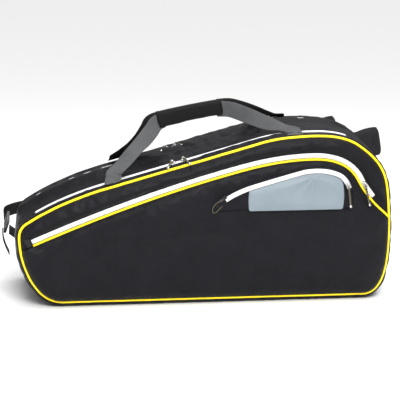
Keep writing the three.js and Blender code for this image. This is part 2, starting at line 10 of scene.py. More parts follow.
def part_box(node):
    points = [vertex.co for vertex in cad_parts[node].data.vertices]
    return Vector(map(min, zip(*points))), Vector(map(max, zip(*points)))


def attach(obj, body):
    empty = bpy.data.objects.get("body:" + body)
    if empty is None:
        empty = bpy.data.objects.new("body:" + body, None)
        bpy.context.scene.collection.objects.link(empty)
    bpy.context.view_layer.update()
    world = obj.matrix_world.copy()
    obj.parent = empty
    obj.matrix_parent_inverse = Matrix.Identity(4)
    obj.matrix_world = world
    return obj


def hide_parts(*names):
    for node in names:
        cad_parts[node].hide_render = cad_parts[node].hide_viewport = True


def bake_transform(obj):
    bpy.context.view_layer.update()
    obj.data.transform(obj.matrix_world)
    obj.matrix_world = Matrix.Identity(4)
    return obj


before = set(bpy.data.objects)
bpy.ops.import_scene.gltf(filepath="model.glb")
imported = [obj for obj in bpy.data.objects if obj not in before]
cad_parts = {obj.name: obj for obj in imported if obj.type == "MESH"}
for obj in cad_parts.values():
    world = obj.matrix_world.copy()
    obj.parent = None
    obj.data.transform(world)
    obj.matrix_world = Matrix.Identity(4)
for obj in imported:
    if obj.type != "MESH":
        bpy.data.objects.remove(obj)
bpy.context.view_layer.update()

# A racket tournament bag: two racket compartments, a large and a small front pocket, a carry
# handle with a wrapped grip, and two padded shoulder straps behind. Lengths are in millimetres
# until make() turns them into metres; +X runs along the bag, -Y is the front, +Z is up.

MM = 0.001


def node_middle(node, axis):
    low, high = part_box(node)
    return (low[axis] + high[axis]) / 2 / MM


def node_side(node, axis, side):
    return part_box(node)[side][axis] / MM


Y_FRONT = node_middle("front_piping", 1)
Y_MIDDLE = node_middle("middle_piping", 1)
Y_REAR = node_middle("rear_binding", 1)
Y_FACE = node_side("front_panel", 1, 0)
Y_BACK = node_side("back_panel", 1, 1)
Y_POCKET = node_side("front_pocket", 1, 0)
Y_SMALL = node_side("small_pocket", 1, 0)
FRONT_ZIP_Y = node_middle("front_main_zip", 1)
REAR_ZIP_Y = node_middle("rear_main_zip", 1)
SEAM_Z = 12
PIPING_R = 2.7
SWELL_SIDE = 8.5
SWELL_UP = 3.5
WEBBING_WIDE = 32
WEBBING_THICK = 2.2
NARROW_WEBBING = 25

# ---- the camera ----
AZIMUTH, ELEVATION, DISTANCE = -6.0, 12.0, 3.0
LENS = 130.2
TARGET = Vector((-0.001, 0.0026, 0.187))


def add_camera():
    a, e = math.radians(AZIMUTH), math.radians(ELEVATION)
    back = Vector((math.sin(a) * math.cos(e), -math.cos(a) * math.cos(e), math.sin(e)))
    camera = bpy.data.objects.new("camera", bpy.data.cameras.new("camera"))
    camera.data.lens = LENS
    camera.location = TARGET + back * DISTANCE
    camera.rotation_euler = (-back).to_track_quat("-Z", "Y").to_euler()
    bpy.context.scene.collection.objects.link(camera)
    bpy.context.scene.camera = camera


# ---- curves in the X Z plane ----
def bezier(*controls, samples=48):
    """Points of a Bezier curve of any degree, without its last one."""
    c = np.array(controls, float)
    n = len(c) - 1
    t = np.linspace(0, 1, samples + 1)[:-1, None]
    return sum(math.comb(n, k) * t**k * (1 - t) ** (n - k) * c[k] for k in range(n + 1))


def lengths(points):
    return np.concatenate([[0], np.cumsum(np.linalg.norm(np.diff(points, axis=0), axis=1))])


def resampled(points, spacing, closed=False):
    line = np.vstack([points, points[:1]]) if closed else np.asarray(points, float)
    s = lengths(line)
    at = np.linspace(0, s[-1], max(2, round(s[-1] / spacing)) + 1)
    at = at[:-1] if closed else at
    return np.column_stack([np.interp(at, s, line[:, k]) for k in range(line.shape[1])])


def outward(points, closed=False):
    """Outward normals of a run that goes counter-clockwise."""
    d = np.roll(points, -1, 0) - np.roll(points, 1, 0) if closed else np.gradient(points, axis=0)
    d /= np.linalg.norm(d, axis=1, keepdims=True)
    return np.column_stack([d[:, 1], -d[:, 0]])


def smooth_step(x):
    x = np.clip(x, 0, 1)
    return x * x * (3 - 2 * x)


TOP = [
    bezier((306, 316), (276, 338), (222, 338)),
    bezier((222, 338), (155, 338), (113, 327)),
    bezier((113, 327), (-196, 241)),
    bezier((-196, 241), (-290, 215), (-358, 172)),
]
OUTLINE = np.vstack([
    bezier((-290, SEAM_Z), (318, SEAM_Z)),
    bezier((318, SEAM_Z), (357, SEAM_Z), (366, 80)),
    bezier((366, 80), (374, 152), (364, 228)),
    bezier((364, 228), (359, 268), (342, 290), (306, 316)),
    *TOP,
    bezier((-358, 172), (-371, 164), (-372, 148)),
    bezier((-372, 148), (-374, 95), (-345, SEAM_Z), (-290, SEAM_Z)),
])
POCKET_SEAM = np.vstack([
    bezier((366, 173), (357, 182)),
    bezier((357, 182), (322, 212), (303, 248)),
    bezier((303, 248), (287, 280), (252, 294), (205, 292)),
    bezier((205, 292), (140, 291), (62, 270)),
    bezier((62, 270), (-130, 220), (-345, 130)),
    [(-345, 130)],
])
SMALL_ZIP = np.vstack([
    bezier((286, 213), (284, 248), (263, 262)),
    bezier((263, 262), (232, 277), (190, 270)),
    bezier((190, 270), (140, 257), (82, 240)),
    bezier((82, 240), (30, 222), (8, 193)),
    [(8, 193)],
])
SMALL_FOOT = 191
POCKET_ZIP_OUT = 7.6  # from the pocket seam to the middle of its zip
GARAGE_X, GARAGE_Z, GARAGE_TURN = -355, 134, 22.7
RAMP_FOOT, RAMP_HEAD = (-196, 241), (113, 327)  # the straight stretch of the top


# ---- meshes ----
def make(name, verts, faces, uvs=None, closed=False):
    """A mesh object from millimetres; uvs, in metres, are one pair for each face corner."""
    mesh = bpy.data.meshes.new(name)
    mesh.from_pydata((np.asarray(verts, float) * MM).tolist(), [], faces)
    if uvs is not None:
        layer = mesh.uv_layers.new(name="flat")
        layer.data.foreach_set("uv", np.asarray(uvs, np.float32).ravel())
    if closed:
        bm = bmesh.new()
        bm.from_mesh(mesh)
        bmesh.ops.recalc_face_normals(bm, faces=bm.faces)
        bm.to_mesh(mesh)
        bm.free()
    mesh.polygons.foreach_set("use_smooth", [True] * len(mesh.polygons))
    piece = bpy.data.objects.new(name, mesh)
    bpy.context.scene.collection.objects.link(piece)
    return piece


def skin(name, rows, closed_u=False, closed_v=False, caps=False):
    """Quads over rows of points, with u along the rows' order and v along each row."""
    rows = np.asarray(rows, float)
    n, m = rows.shape[:2]
    along = np.vstack([rows, rows[:1]]) if closed_u else rows
    across = np.concatenate([rows, rows[:, :1]], axis=1) if closed_v else rows
    u = lengths(along.mean(axis=1)) * MM
    v = lengths(across.transpose(1, 0, 2).reshape(across.shape[1], -1)) / math.sqrt(n) * MM
    faces, uvs = [], []
    for i in range(n if closed_u else n - 1):
        for j in range(m if closed_v else m - 1):
            a, b = i * m, (i + 1) % n * m
            faces.append((a + j, b + j, b + (j + 1) % m, a + (j + 1) % m))
            uvs += [(u[i], v[j]), (u[i + 1], v[j]), (u[i + 1], v[j + 1]), (u[i], v[j + 1])]
    if caps:
        for ring in (range(m), range((n - 1) * m, n * m)):
            faces.append(tuple(ring))
            uvs += [(rows.reshape(-1, 3)[k, 1] * MM, rows.reshape(-1, 3)[k, 2] * MM) for k in ring]
    return make(name, rows.reshape(-1, 3), faces, uvs, closed=closed_v or closed_u)


def swept(name, points, profile, closed=False, caps=True):
    """A closed profile of (outward offset, y) pairs carried along a run in X and Z."""
    normals = outward(points, closed)
    profile = np.asarray(profile, float)
    rows = np.empty((len(points), len(profile), 3))
    rows[:, :, 0] = points[:, None, 0] + normals[:, None, 0] * profile[None, :, 0]
    rows[:, :, 1] = profile[None, :, 1]
    rows[:, :, 2] = points[:, None, 1] + normals[:, None, 1] * profile[None, :, 0]
    return skin(name, rows, closed_u=closed, closed_v=True, caps=caps and not closed)


def distance_to(points, line, closed=False):
    """Distance of each 2-D point to a polyline."""
    a = np.asarray(line, float)
    b = np.roll(a, -1, 0) if closed else a[1:]
    a = a if closed else a[:-1]
    d = b - a
    best = np.full(len(points), 1e9)
    for start, span in zip(a, d):
        t = np.clip(((points - start) @ span) / max(span @ span, 1e-12), 0, 1)
        best = np.minimum(best, np.hypot(*(points - start - t[:, None] * span).T))
    return best


def inside(points, loop):
    x, z = points.T
    hit = np.zeros(len(points), bool)
    for (x0, z0), (x1, z1) in zip(loop, np.roll(loop, -1, 0)):
        crosses = (z0 > z) != (z1 > z)
        hit ^= crosses & (x < (x1 - x0) * (z - z0) / (z1 - z0 + 1e-12) + x0)
    return hit


def panel(name, loop, spacing, depth):
    """A sheet of even triangles inside a loop in X and Z; depth(points) gives each one's y."""
    loop = resampled(loop, spacing, closed=True)
    low, high = loop.min(0), loop.max(0)
    rise = spacing * math.sqrt(3) / 2
    grid = []
    for row in range(int((high[1] - low[1]) / rise) + 1):
        shift = spacing / 2 * (row % 2)
        xs = np.arange(low[0] + shift, high[0], spacing)
        grid += [(x, low[1] + row * rise) for x in xs]
    grid = np.array(grid)
    grid = grid[inside(grid, loop)]
    grid = grid[distance_to(grid, loop, closed=True) > spacing * 0.6]
    points = np.vstack([loop, grid])
    edges = [(k, (k + 1) % len(loop)) for k in range(len(loop))]
    flat, _, faces, *_ = delaunay_2d_cdt([Vector(p) for p in points], edges, [], 1, 1e-4)
    flat = np.array([tuple(p) for p in flat])
    y = depth(flat)
    verts = np.column_stack([flat[:, 0], y, flat[:, 1]])
    uvs = [flat[k] * MM for f in faces for k in f]
    return make(name, verts, faces, uvs)


def ripple(points, size, seed):
    """Smooth noise, one value for each 2-D point, from -1 to 1."""
    return np.array([noise.noise(Vector((x / size, z / size, seed * 7.3))) for x, z in points])


def modifier(piece, kind, **values):
    m = piece.modifiers.new(kind.lower(), kind)
    for key, value in values.items():
        setattr(m, key, value)
    return m


def thicken(piece, thick, offset=-1):
    modifier(piece, "SOLIDIFY", thickness=thick * MM, offset=offset)
    return piece


def soften(piece, levels=1):
    modifier(piece, "SUBSURF", levels=levels, render_levels=levels)
    return piece


def coordinates(piece):
    co = np.empty(len(piece.data.vertices) * 3)
    piece.data.vertices.foreach_get("co", co)
    return co.reshape(-1, 3)


CLOTH_FRAMES = 16


def billow(piece, pinned, pressure, slack, cap):
    """Swells a sewn sheet by cloth simulation: pinned is one truth value for each vertex, slack the
    share by which the cloth is longer than its place, and cap the furthest a point may go, in mm."""
    before = coordinates(piece)
    pins = piece.vertex_groups.new(name="sewn")
    pins.add([int(k) for k in np.flatnonzero(pinned)], 1.0, "REPLACE")
    cloth = modifier(piece, "CLOTH")
    s = cloth.settings
    s.quality, s.mass, s.time_scale = 6, 0.3, 1.0
    s.tension_stiffness = s.compression_stiffness = 15
    s.shear_stiffness, s.bending_stiffness = 5, 0.6
    s.vertex_group_mass = "sewn"
    s.use_pressure, s.uniform_pressure_force = True, pressure
    s.shrink_min = -slack
    s.effector_weights.gravity = 0
    cloth.collision_settings.use_collision = False
    cloth.point_cache.frame_start, cloth.point_cache.frame_end = 1, CLOTH_FRAMES
    scene = bpy.context.scene
    for number in range(1, CLOTH_FRAMES + 1):
        scene.frame_set(number)
    evaluated = piece.evaluated_get(bpy.context.evaluated_depsgraph_get())
    after = np.array([v.co for v in evaluated.data.vertices])
    piece.modifiers.remove(cloth)
    scene.frame_set(1)
    move = after - before
    far = np.linalg.norm(move, axis=1, keepdims=True)
    move *= cap * MM / (cap * MM + far)
    piece.data.vertices.foreach_set("co", (before + move).ravel())
    piece.data.update()
    return piece


# ---- materials ----
class Surface:
    """A Principled material whose nodes are added one at a time."""

    def __init__(self, name, color, **sockets):
        self.material = bpy.data.materials.new(name)
        self.material.use_nodes = True
        self.tree = self.material.node_tree
        self.shader = self.tree.nodes["Principled BSDF"]
        self.shader.inputs["Base Color"].default_value = (*color, 1)
        self.material.diffuse_color = (*color, 1)
        for key, value in sockets.items():
            self.shader.inputs[key.replace("_", " ")].default_value = value

    def node(self, kind, inputs=(), **values):
        made = self.tree.nodes.new("ShaderNode" + kind)
        for key, value in values.items():
            setattr(made, key, value)
        for key, value in dict(inputs).items():
            self.feed(value, made.inputs[key])
        return made

    def feed(self, value, socket):
        if isinstance(value, bpy.types.NodeSocket):
            self.tree.links.new(value, socket)
        else:
            socket.default_value = value

    def math(self, operation, *values):
        made = self.node("Math", operation=operation)
        for value, socket in zip(values, made.inputs):
            self.feed(value, socket)
        return made.outputs[0]

    def times(self, *values):
        return self.math("MULTIPLY", *values)

    def plus(self, *values):
        return self.math("ADD", *values)

    def millimetres(self):
        """u and v of the piece's own flat pattern, in millimetres."""
        uv = self.node("UVMap", uv_map="flat").outputs[0]
        parts = self.node("SeparateXYZ", {0: uv}).outputs
        return self.times(parts[0], 1000), self.times(parts[1], 1000)

    def place(self):
        return self.node("TexCoord").outputs["Object"]

    def ridge(self, across, pitch, share):
        """1 on thin lines a pitch apart, falling to 0 over a share of the pitch."""
        fold = self.math("PINGPONG", self.math("DIVIDE", across, pitch), 0.5)
        inputs = {"Value": fold, "From Max": share, "To Min": 1.0, "To Max": 0.0}
        return self.node("MapRange", inputs, interpolation_type="SMOOTHSTEP").outputs[0]

    def cloud(self, scale, detail=3.0, vector=None):
        inputs = {"Scale": scale, "Detail": detail, "Vector": vector or self.place()}
        return self.node("TexNoise", inputs).outputs[0]

    def between(self, factor, dark, light):
        made = self.node("Mix", data_type="RGBA")
        for key, value in (("Factor", factor), ("A", (*dark, 1)), ("B", (*light, 1))):
            sockets = [s for s in made.inputs if s.name == key and s.enabled]
            self.feed(value, sockets[0])
        return [s for s in made.outputs if s.enabled][0]

    def paint(self, color):
        self.feed(color, self.shader.inputs["Base Color"])

    def gloss(self, factor, low, high):
        inputs = {"Value": factor, "To Min": low, "To Max": high}
        self.feed(self.node("MapRange", inputs).outputs[0], self.shader.inputs["Roughness"])

    def bump(self, height, depth, strength=1.0, normal=None):
        inputs = {"Height": height, "Distance": depth * MM, "Strength": strength}
        made = self.node("Bump", inputs)
        if normal is not None:
            self.feed(normal, made.inputs["Normal"])
        self.feed(made.outputs[0], self.shader.inputs["Normal"])
        return made.outputs[0]


def ripstop(name, dark, light, pitch=4.2, roughness=(0.3, 0.46)):
    """Thin nylon with raised threads crossing in diamonds, a little creased."""
    s = Surface(name, dark, Specular_IOR_Level=0.11)
    u, v = s.millimetres()
    half = s.times(v, 1.35)
    rising = s.ridge(s.plus(u, half), pitch, 0.2)
    falling = s.ridge(s.math("SUBTRACT", u, half), pitch, 0.2)
    threads = s.math("MAXIMUM", rising, falling)
    creases = s.cloud(26.0, 6.0)
    weave = s.cloud(900.0, 1.0)
    tone = s.times(threads, s.plus(creases, 0.35))
    s.paint(s.between(tone, dark, light))
    dull = s.plus(s.times(threads, 0.4), s.times(creases, 0.6))
    s.gloss(dull, *roughness)
    fine = s.bump(weave, 0.1, 0.35)
    folds = s.bump(creases, 11.0, 0.75, fine)
    s.bump(threads, 0.4, 0.9, folds)
    return s.material


def webbing_weave(name, dark, light):
    """Woven strap: ribs across it and chevrons along it."""
    s = Surface(name, dark, Roughness=0.7, Specular_IOR_Level=0.12)
    u, v = s.millimetres()
    ribs = s.ridge(u, 1.6, 0.5)
    rows = s.ridge(s.plus(v, s.times(u, 0.5)), 2.4, 0.5)
    threads = s.times(s.plus(ribs, rows), 0.5)
    wear = s.cloud(40.0, 5.0)
    s.paint(s.between(s.times(threads, s.plus(wear, 0.45)), dark, light))
    s.bump(threads, 0.45, 0.8)
    return s.material


def piping_cloth():
    s = Surface("yellow_piping_cloth", (0.97, 0.74, 0.010), Roughness=0.42, Specular_IOR_Level=0.3)
    u, v = s.millimetres()
    twill = s.ridge(s.plus(u, v), 1.3, 0.5)
    grime = s.cloud(30.0, 4.0)
    shade = s.plus(s.times(twill, 0.35), s.times(grime, 0.65))
    s.paint(s.between(shade, (0.86, 0.61, 0.004), (1.0, 0.80, 0.012)))
    s.bump(twill, 0.15, 0.5)
    return s.material


def zip_tape(name, middle):
    """Silver tape with the coil's ribs, and dark lines at its middle and beside the coil; middle is
    the distance from an edge to the middle, measured over the cloth."""
    s = Surface(name, (0.6, 0.6, 0.61), Roughness=0.4, Specular_IOR_Level=0.4)
    u, v = s.millimetres()
    ribs = s.ridge(u, 1.4, 0.5)
    rows = s.ridge(v, middle / 2, 0.2)
    wear = s.cloud(60.0, 4.0)
    lit = s.plus(0.75, s.times(ribs, 0.3))
    shade = s.math("SUBTRACT", lit, s.times(rows, 0.62))
    tone = s.times(shade, s.plus(s.times(wear, 0.4), 0.75))
    s.paint(s.between(tone, (0.10, 0.10, 0.11), (0.88, 0.88, 0.90)))
    s.bump(ribs, 0.35, 0.7)
    return s.material


def satin():
    s = Surface("accent_satin_cloth", (0.26, 0.31, 0.34), Specular_IOR_Level=0.4)
    u, v = s.millimetres()
    weave = s.ridge(s.plus(v, s.times(u, 0.6)), 1.1, 0.5)
    cloud = s.cloud(14.0, 5.0)
    s.paint(s.between(cloud, (0.13, 0.165, 0.19), (0.215, 0.258, 0.285)))
    s.gloss(cloud, 0.28, 0.46)
    creases = s.bump(cloud, 1.2, 0.5)
    s.bump(weave, 0.12, 0.5, creases)
    return s.material


def grip_cloth():
    """Dense black knit in small diamonds."""
    s = Surface("grip_knit", (0.006, 0.006, 0.006), Specular_IOR_Level=0.14)
    u, v = s.millimetres()
    a = s.ridge(s.plus(u, v), 3.0, 0.5)
    b = s.ridge(s.math("SUBTRACT", u, v), 3.0, 0.5)
    knit = s.times(a, b)
    wear = s.cloud(35.0, 4.0)
    s.paint(s.between(s.times(knit, wear), (0.003, 0.003, 0.003), (0.018, 0.018, 0.019)))
    s.gloss(wear, 0.34, 0.5)
    s.bump(knit, 0.7, 0.8)
    return s.material


def pad_mesh_cloth():
    """Open air mesh over foam, for the straps' inner faces and the back panel."""
    s = Surface("pad_air_mesh", (0.016, 0.016, 0.018), Specular_IOR_Level=0.15, Roughness=0.75)
    holes = s.node("TexVoronoi", {"Scale": 420.0, "Vector": s.place()}).outputs["Distance"]
    wear = s.cloud(18.0, 5.0)
    s.paint(s.between(s.times(holes, wear), (0.004, 0.004, 0.005), (0.05, 0.05, 0.055)))
    folds = s.bump(wear, 1.5, 0.4)
    s.bump(holes, 0.5, 0.6, folds)
    return s.material


def binding_cloth():
    s = Surface("black_binding_cloth", (0.008, 0.008, 0.009), Roughness=0.6, Specular_IOR_Level=0.2)
    u, _ = s.millimetres()
    ribs = s.ridge(u, 1.2, 0.5)
    wear = s.cloud(45.0, 4.0)
    s.paint(s.between(s.times(ribs, wear), (0.006, 0.006, 0.007), (0.04, 0.04, 0.042)))
    s.bump(ribs, 0.3, 0.7)
    return s.material


def nickel_metal():
    s = Surface("nickel", (0.62, 0.61, 0.60), Metallic=1.0)
    marks = s.cloud(260.0, 4.0)
    s.paint(s.between(marks, (0.46, 0.45, 0.44), (0.75, 0.74, 0.72)))
    s.gloss(marks, 0.16, 0.34)
    s.bump(marks, 0.05, 0.3)
    return s.material


def cord_braid():
    """Black cord with a tan fleck every few turns of its braid."""
    s = Surface("pull_cord_braid", (0.010, 0.010, 0.010), Roughness=0.55)
    u, v = s.millimetres()
    braid = s.ridge(s.plus(u, s.times(v, 0.8)), 1.4, 0.5)
    fleck = s.math("GREATER_THAN", s.ridge(s.plus(u, s.times(v, 1.3)), 3.9, 0.5), 0.8)
    s.paint(s.between(fleck, (0.010, 0.010, 0.011), (0.30, 0.25, 0.15)))
    s.bump(braid, 0.3, 0.8)
    return s.material


def moulded_plastic():
    s = Surface("black_acetal", (0.010, 0.010, 0.011), Specular_IOR_Level=0.5)
    grain = s.cloud(700.0, 3.0)
    wear = s.cloud(60.0, 4.0)
    s.paint(s.between(wear, (0.007, 0.007, 0.008), (0.022, 0.022, 0.024)))
    s.gloss(wear, 0.3, 0.5)
    s.bump(grain, 0.06, 0.5)
    return s.material


def thread(name, color):
    s = Surface(name, color, Roughness=0.6, Specular_IOR_Level=0.2)
    s.bump(s.cloud(2500.0, 1.0), 0.08, 0.5)
    return s.material


SHELL = ripstop("shell_ripstop", (0.0030, 0.0030, 0.0042), (0.020, 0.020, 0.025))
LINING = ripstop("lining_cloth", (0.03, 0.03, 0.033), (0.07, 0.07, 0.075), 3.0)
PIPING = piping_cloth()
BINDING = binding_cloth()
WIDE_TAPE = zip_tape("silver_zip_tape", 8.2)
SLIM_TAPE = zip_tape("silver_zip_tape_slim", 6.7)
ACCENT = satin()
GREY_WEB = webbing_weave("grey_webbing_weave", (0.028, 0.029, 0.030), (0.120, 0.123, 0.127))
# Black webbing for the grip core, adjusters, anchors and tails; on the far handle legs it is painted shade
# over what is grey webbing.
BLACK_AND_SHADE_WEB = webbing_weave("black_and_shade_webbing_weave", (0.004, 0.004, 0.005), (0.024, 0.024, 0.026))
GRIP = grip_cloth()
PAD = pad_mesh_cloth()
NICKEL = nickel_metal()
CORD = cord_braid()
PLASTIC = moulded_plastic()
# Black thread for the grip flap; on the far handle legs it is painted shade over what is grey thread.
BLACK_AND_SHADE_THREAD = thread("black_and_shade_thread", (0.02, 0.02, 0.022))
GREY_THREAD = thread("grey_thread", (0.16, 0.16, 0.165))


def dress(piece, material, body="bag", replaces=()):
    piece.data.materials.clear()
    piece.data.materials.append(material)
    if body:
        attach(piece, body)
    if replaces:
        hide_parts(*replaces)
    return piece


def cloth_sheet(piece, thick, material, replaces=(), offset=-1, body="bag"):
    """A sheet given its thickness, smoothed and dressed."""
    soften(thicken(piece, thick, offset))
    return dress(piece, material, body, replaces)


# ---- stitches ----
STITCH, STITCH_PITCH, STITCH_R = 3.0, 4.4, 0.38


def stitches(name, path, lift, material, body):
    """A row of sewn stitches along a 3-D path; lift is the direction off the cloth."""
    path = resampled(np.asarray(path, float), STITCH_PITCH)
    lift = np.broadcast_to(np.asarray(lift, float), path.shape)
    verts, faces, uvs = [], [], []
    sides, rings = 6, (-1.0, -0.7, 0.7, 1.0)
    for a, b, up in zip(path[:-1], path[1:], lift):
        t = (b - a) / np.linalg.norm(b - a)
        up = up / np.linalg.norm(up)
        side = np.cross(t, up)
        first = len(verts)
        for r in rings:
            radius = STITCH_R * (0.45 if abs(r) == 1 else 1)
            middle = (a + b) / 2 + t * r * STITCH / 2 - up * (abs(r) == 1) * 0.3
            for k in range(sides):
                angle = 2 * math.pi * k / sides
                verts.append(middle + radius * (math.cos(angle) * side + math.sin(angle) * up))
        for i in range(len(rings) - 1):
            for k in range(sides):
                p, q = first + i * sides, first + (i + 1) * sides
                faces.append((p + k, p + (k + 1) % sides, q + (k + 1) % sides, q + k))
        faces.append(tuple(first + k for k in range(sides)))
        faces.append(tuple(first + (len(rings) - 1) * sides + k for k in range(sides)))
    uvs = [(verts[k][0] * MM, verts[k][2] * MM) for f in faces for k in f]
    return dress(make(name, verts, faces, uvs, closed=True), material, body)


# ---- compartments ----
def swell_of(nz):
    return SWELL_SIDE - SWELL_UP * nz


GUSSET_ACROSS = 25
GUSSET_STEP = 6.0


def arch(distance, reach):
    """From 0 at a seam up to 1 at the reach, steep at first."""
    return np.sqrt(1 - (1 - np.clip(distance / reach, 0, 1)) ** 2)


def bell(ys, middle, half):
    return np.exp(-(((ys - middle) / half) ** 2))


def upward(nz):
    """1 where the gusset faces up, 0 where it faces sideways or down."""
    return smooth_step((np.asarray(nz) - 0.35) / 0.4)


def front_level(x, nz, ys):
    """The front compartment's lip, zip valley and high rear ridge, above the seams' line."""
    up = upward(nz)
    level = swell_of(nz) * np.minimum(arch(ys - Y_FRONT, 20), arch(Y_MIDDLE - ys, 22))
    lip_here = smooth_step((x + 60) / 60) * smooth_step((215 - x) / 40)
    ridge = 6.5 + 7.5 * smooth_step((-10 - x) / 190) - 3 * smooth_step((x - 150) / 80)
    level += up * (1.2 + 3.8 * lip_here) * bell(ys, Y_FRONT + 13, 7)
    level -= up * 3.0 * bell(ys, FRONT_ZIP_Y - 5, 8.5)
    level -= up * 1.8 * bell(ys, FRONT_ZIP_Y + 17, 8)
    return level + up * ridge * bell(ys, Y_MIDDLE - 17, 15)


def rear_level(x, nz, ys):
    """The rear compartment's crown, and its zip's valley behind that."""
    up = upward(nz)
    level = swell_of(nz) * np.minimum(arch(ys - Y_MIDDLE, 20), arch(Y_REAR - ys, 22))
    sink = smooth_step((-60 - x) / 160)
    level -= up * 2.5 * sink * bell(ys, Y_REAR - 25, 30)
    level += up * (7.0 - 3.5 * sink) * bell(ys, Y_MIDDLE + 44, 22)
    return level - up * 3.2 * bell(ys, REAR_ZIP_Y, 11)


def gusset_rows(around, normals, y0, y1, level_of, seed):
    """Rows of points from seam to seam, one for each station round the outline."""
    ys = np.linspace(y0, y1, GUSSET_ACROSS)
    rows = np.empty((len(around), len(ys), 3))
    s = lengths(np.vstack([around, around[:1]]))[:-1]
    slack = np.clip(np.minimum(ys - y0, y1 - ys) / 9, 0, 1)
    for i, (p, n) in enumerate(zip(around, normals)):
        level = level_of(p[0], n[1], ys) + slack * crease(s[i], ys, seed, float(upward(n[1])))
        rows[i, :, 0] = p[0] + n[0] * level
        rows[i, :, 1] = ys
        rows[i, :, 2] = np.maximum(p[1] + n[1] * level, 0.2)
    return rows


def crease(s, ys, seed, above):
    """Short folds that run from seam to seam, deeper on top, at the distance s along the seam."""
    out = []
    for y in ys:
        long_fold = noise.noise(Vector((s / 30 + y / 70, y / 75, seed)))
        pucker = noise.noise(Vector((s / 11, y / 30, seed + 5.1)))
        sharp = 1 - abs(noise.noise(Vector((s / 24 - y / 55, y / 60, seed + 9.4)))) * 2
        out.append((0.8 + 0.8 * above) * long_fold + 0.6 * pucker + (0.4 + 1.1 * above) * (sharp - 0.5))
    return np.array(out)


def add_gusset(name, seam_y, zip_y, level_of, seed):
    around = resampled(OUTLINE, GUSSET_STEP, closed=True)
    normals = outward(around, True)
    rows = gusset_rows(around, normals, seam_y + 1.2, seam_y + 125 - 1.2, level_of, seed)
    piece = skin(f"{name}_gusset_cloth", rows, closed_u=True)
    y = rows[:, :, 1].ravel()
    nz = np.repeat(normals[:, 1], GUSSET_ACROSS)
    sewn = (y < seam_y + 2) | (y > seam_y + 123)
    zipped = (np.abs(y - zip_y) < 10) & (nz > 0.2)
    floor = coordinates(piece)[:, 2] < 1.5 * MM
    billow(piece, sewn | zipped | floor, 2.0, 0.035, 4.0)
    rest_on_ground(piece)
    return cloth_sheet(piece, 1.2, SHELL, [f"{name}_gusset"])


def rest_on_ground(piece):
    co = coordinates(piece)
    co[:, 2] = np.maximum(co[:, 2], 0.3 * MM)
    piece.data.vertices.foreach_set("co", co.ravel())


def tape_profile(half, thick, seam=0.5):
    """Half the tape from its sewn edge to the line where the two halves meet, mirrored."""
    side = [(-half, 0), (-half + 0.3, thick * 0.5), (-half + 1.2, thick * 0.75), (-half * 0.45, thick * 0.85)]
    side += [(-half * 0.38, thick), (-seam - 0.5, thick * 1.05)]
    side += [(-seam * 0.5, thick * 0.8), (0, thick * 0.45)]
    other = [(-x, h) for x, h in side[-2::-1]]
    return np.array(side + other)


def add_main_zip(name, zip_y, level_of):
    """The silver tape on top of a compartment, tilted as its gusset lies there."""
    run = resampled(np.vstack([*TOP, [(-358, 172)]]), 4)
    first, last = 26, 22
    s = lengths(run)
    run = run[(s > first) & (s < s[-1] - last)]
    normals = outward(run)
    section = tape_profile(6.5, 2.0)
    edges = np.array([zip_y - 7.5, zip_y + 7.5])
    rows = np.empty((len(run), len(section) + 1, 3))
    lips = np.empty((2, len(run), 3))
    for i, (p, n) in enumerate(zip(run, normals)):
        level = np.mean(level_of(p[0], n[1], np.linspace(*edges, 7)))
        tilt = np.diff(level_of(p[0], n[1], edges))[0] / 15
        across = np.append(section[:, 0], 0)
        out = level + 0.8 + tilt * across + np.append(section[:, 1], -1.6)
        rows[i] = np.column_stack([p[0] + n[0] * out, zip_y + across, p[1] + n[1] * out])
        for side in (0, 1):
            shift = 8.6 * (2 * side - 1)
            rise = level + tilt * shift + 1.1
            lips[side, i] = (p[0] + n[0] * rise, zip_y + shift, p[1] + n[1] * rise)
    piece = skin(f"{name}_main_zip_tape", rows, closed_v=True, caps=True)
    dress(piece, WIDE_TAPE, replaces=[f"{name}_main_zip"])
    for label, lip in zip(("fore", "aft"), lips):
        tube(f"{name}_zip_{label}_lip", lip, 1.7, SHELL)


def tube(name, path, radius, material, body="bag", sides=10, replaces=(), closed=False):
    """A round cord along a 3-D path; radius may be one number or one for each point."""
    path = np.asarray(path, float)
    d = np.roll(path, -1, 0) - np.roll(path, 1, 0) if closed else np.gradient(path, axis=0)
    d /= np.linalg.norm(d, axis=1, keepdims=True)
    radii = np.broadcast_to(radius, len(path))
    up = np.cross(d[0], (0.3, 1.0, 0.2))
    up /= np.linalg.norm(up)
    rows = []
    for p, t, r in zip(path, d, radii):
        up = up - t * (up @ t)
        up /= np.linalg.norm(up)
        side = np.cross(t, up)
        a = 2 * math.pi * np.arange(sides) / sides
        rows.append(p + r * (np.cos(a)[:, None] * up + np.sin(a)[:, None] * side))
    piece = skin(name, rows, closed_u=closed, closed_v=True, caps=not closed)
    return dress(piece, material, body, replaces)


def add_seam(name, y, material, node):
    around = resampled(OUTLINE, 5, closed=True)
    normals = outward(around, True)
    wander = 0.35 * ripple(around, 22, 3 + y / 50)
    path = np.column_stack([
        around[:, 0] + normals[:, 0] * wander, np.full(len(around), y), around[:, 1] + normals[:, 1] * wander
    ])
    return tube(name, path, PIPING_R, material, sides=14, replaces=[node], closed=True)


add_gusset("front", Y_FRONT, FRONT_ZIP_Y, front_level, 1.0)
add_gusset("rear", Y_MIDDLE, REAR_ZIP_Y, rear_level, 2.0)
add_main_zip("front", FRONT_ZIP_Y, front_level)
add_main_zip("rear", REAR_ZIP_Y, rear_level)
add_seam("front_piping_cord", Y_FRONT, PIPING, "front_piping")
add_seam("middle_piping_cord", Y_MIDDLE, PIPING, "middle_piping")
add_seam("rear_seam_binding", Y_REAR, BINDING, "rear_binding")
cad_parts["divider_panel"].data.materials.clear()
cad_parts["divider_panel"].data.materials.append(LINING)


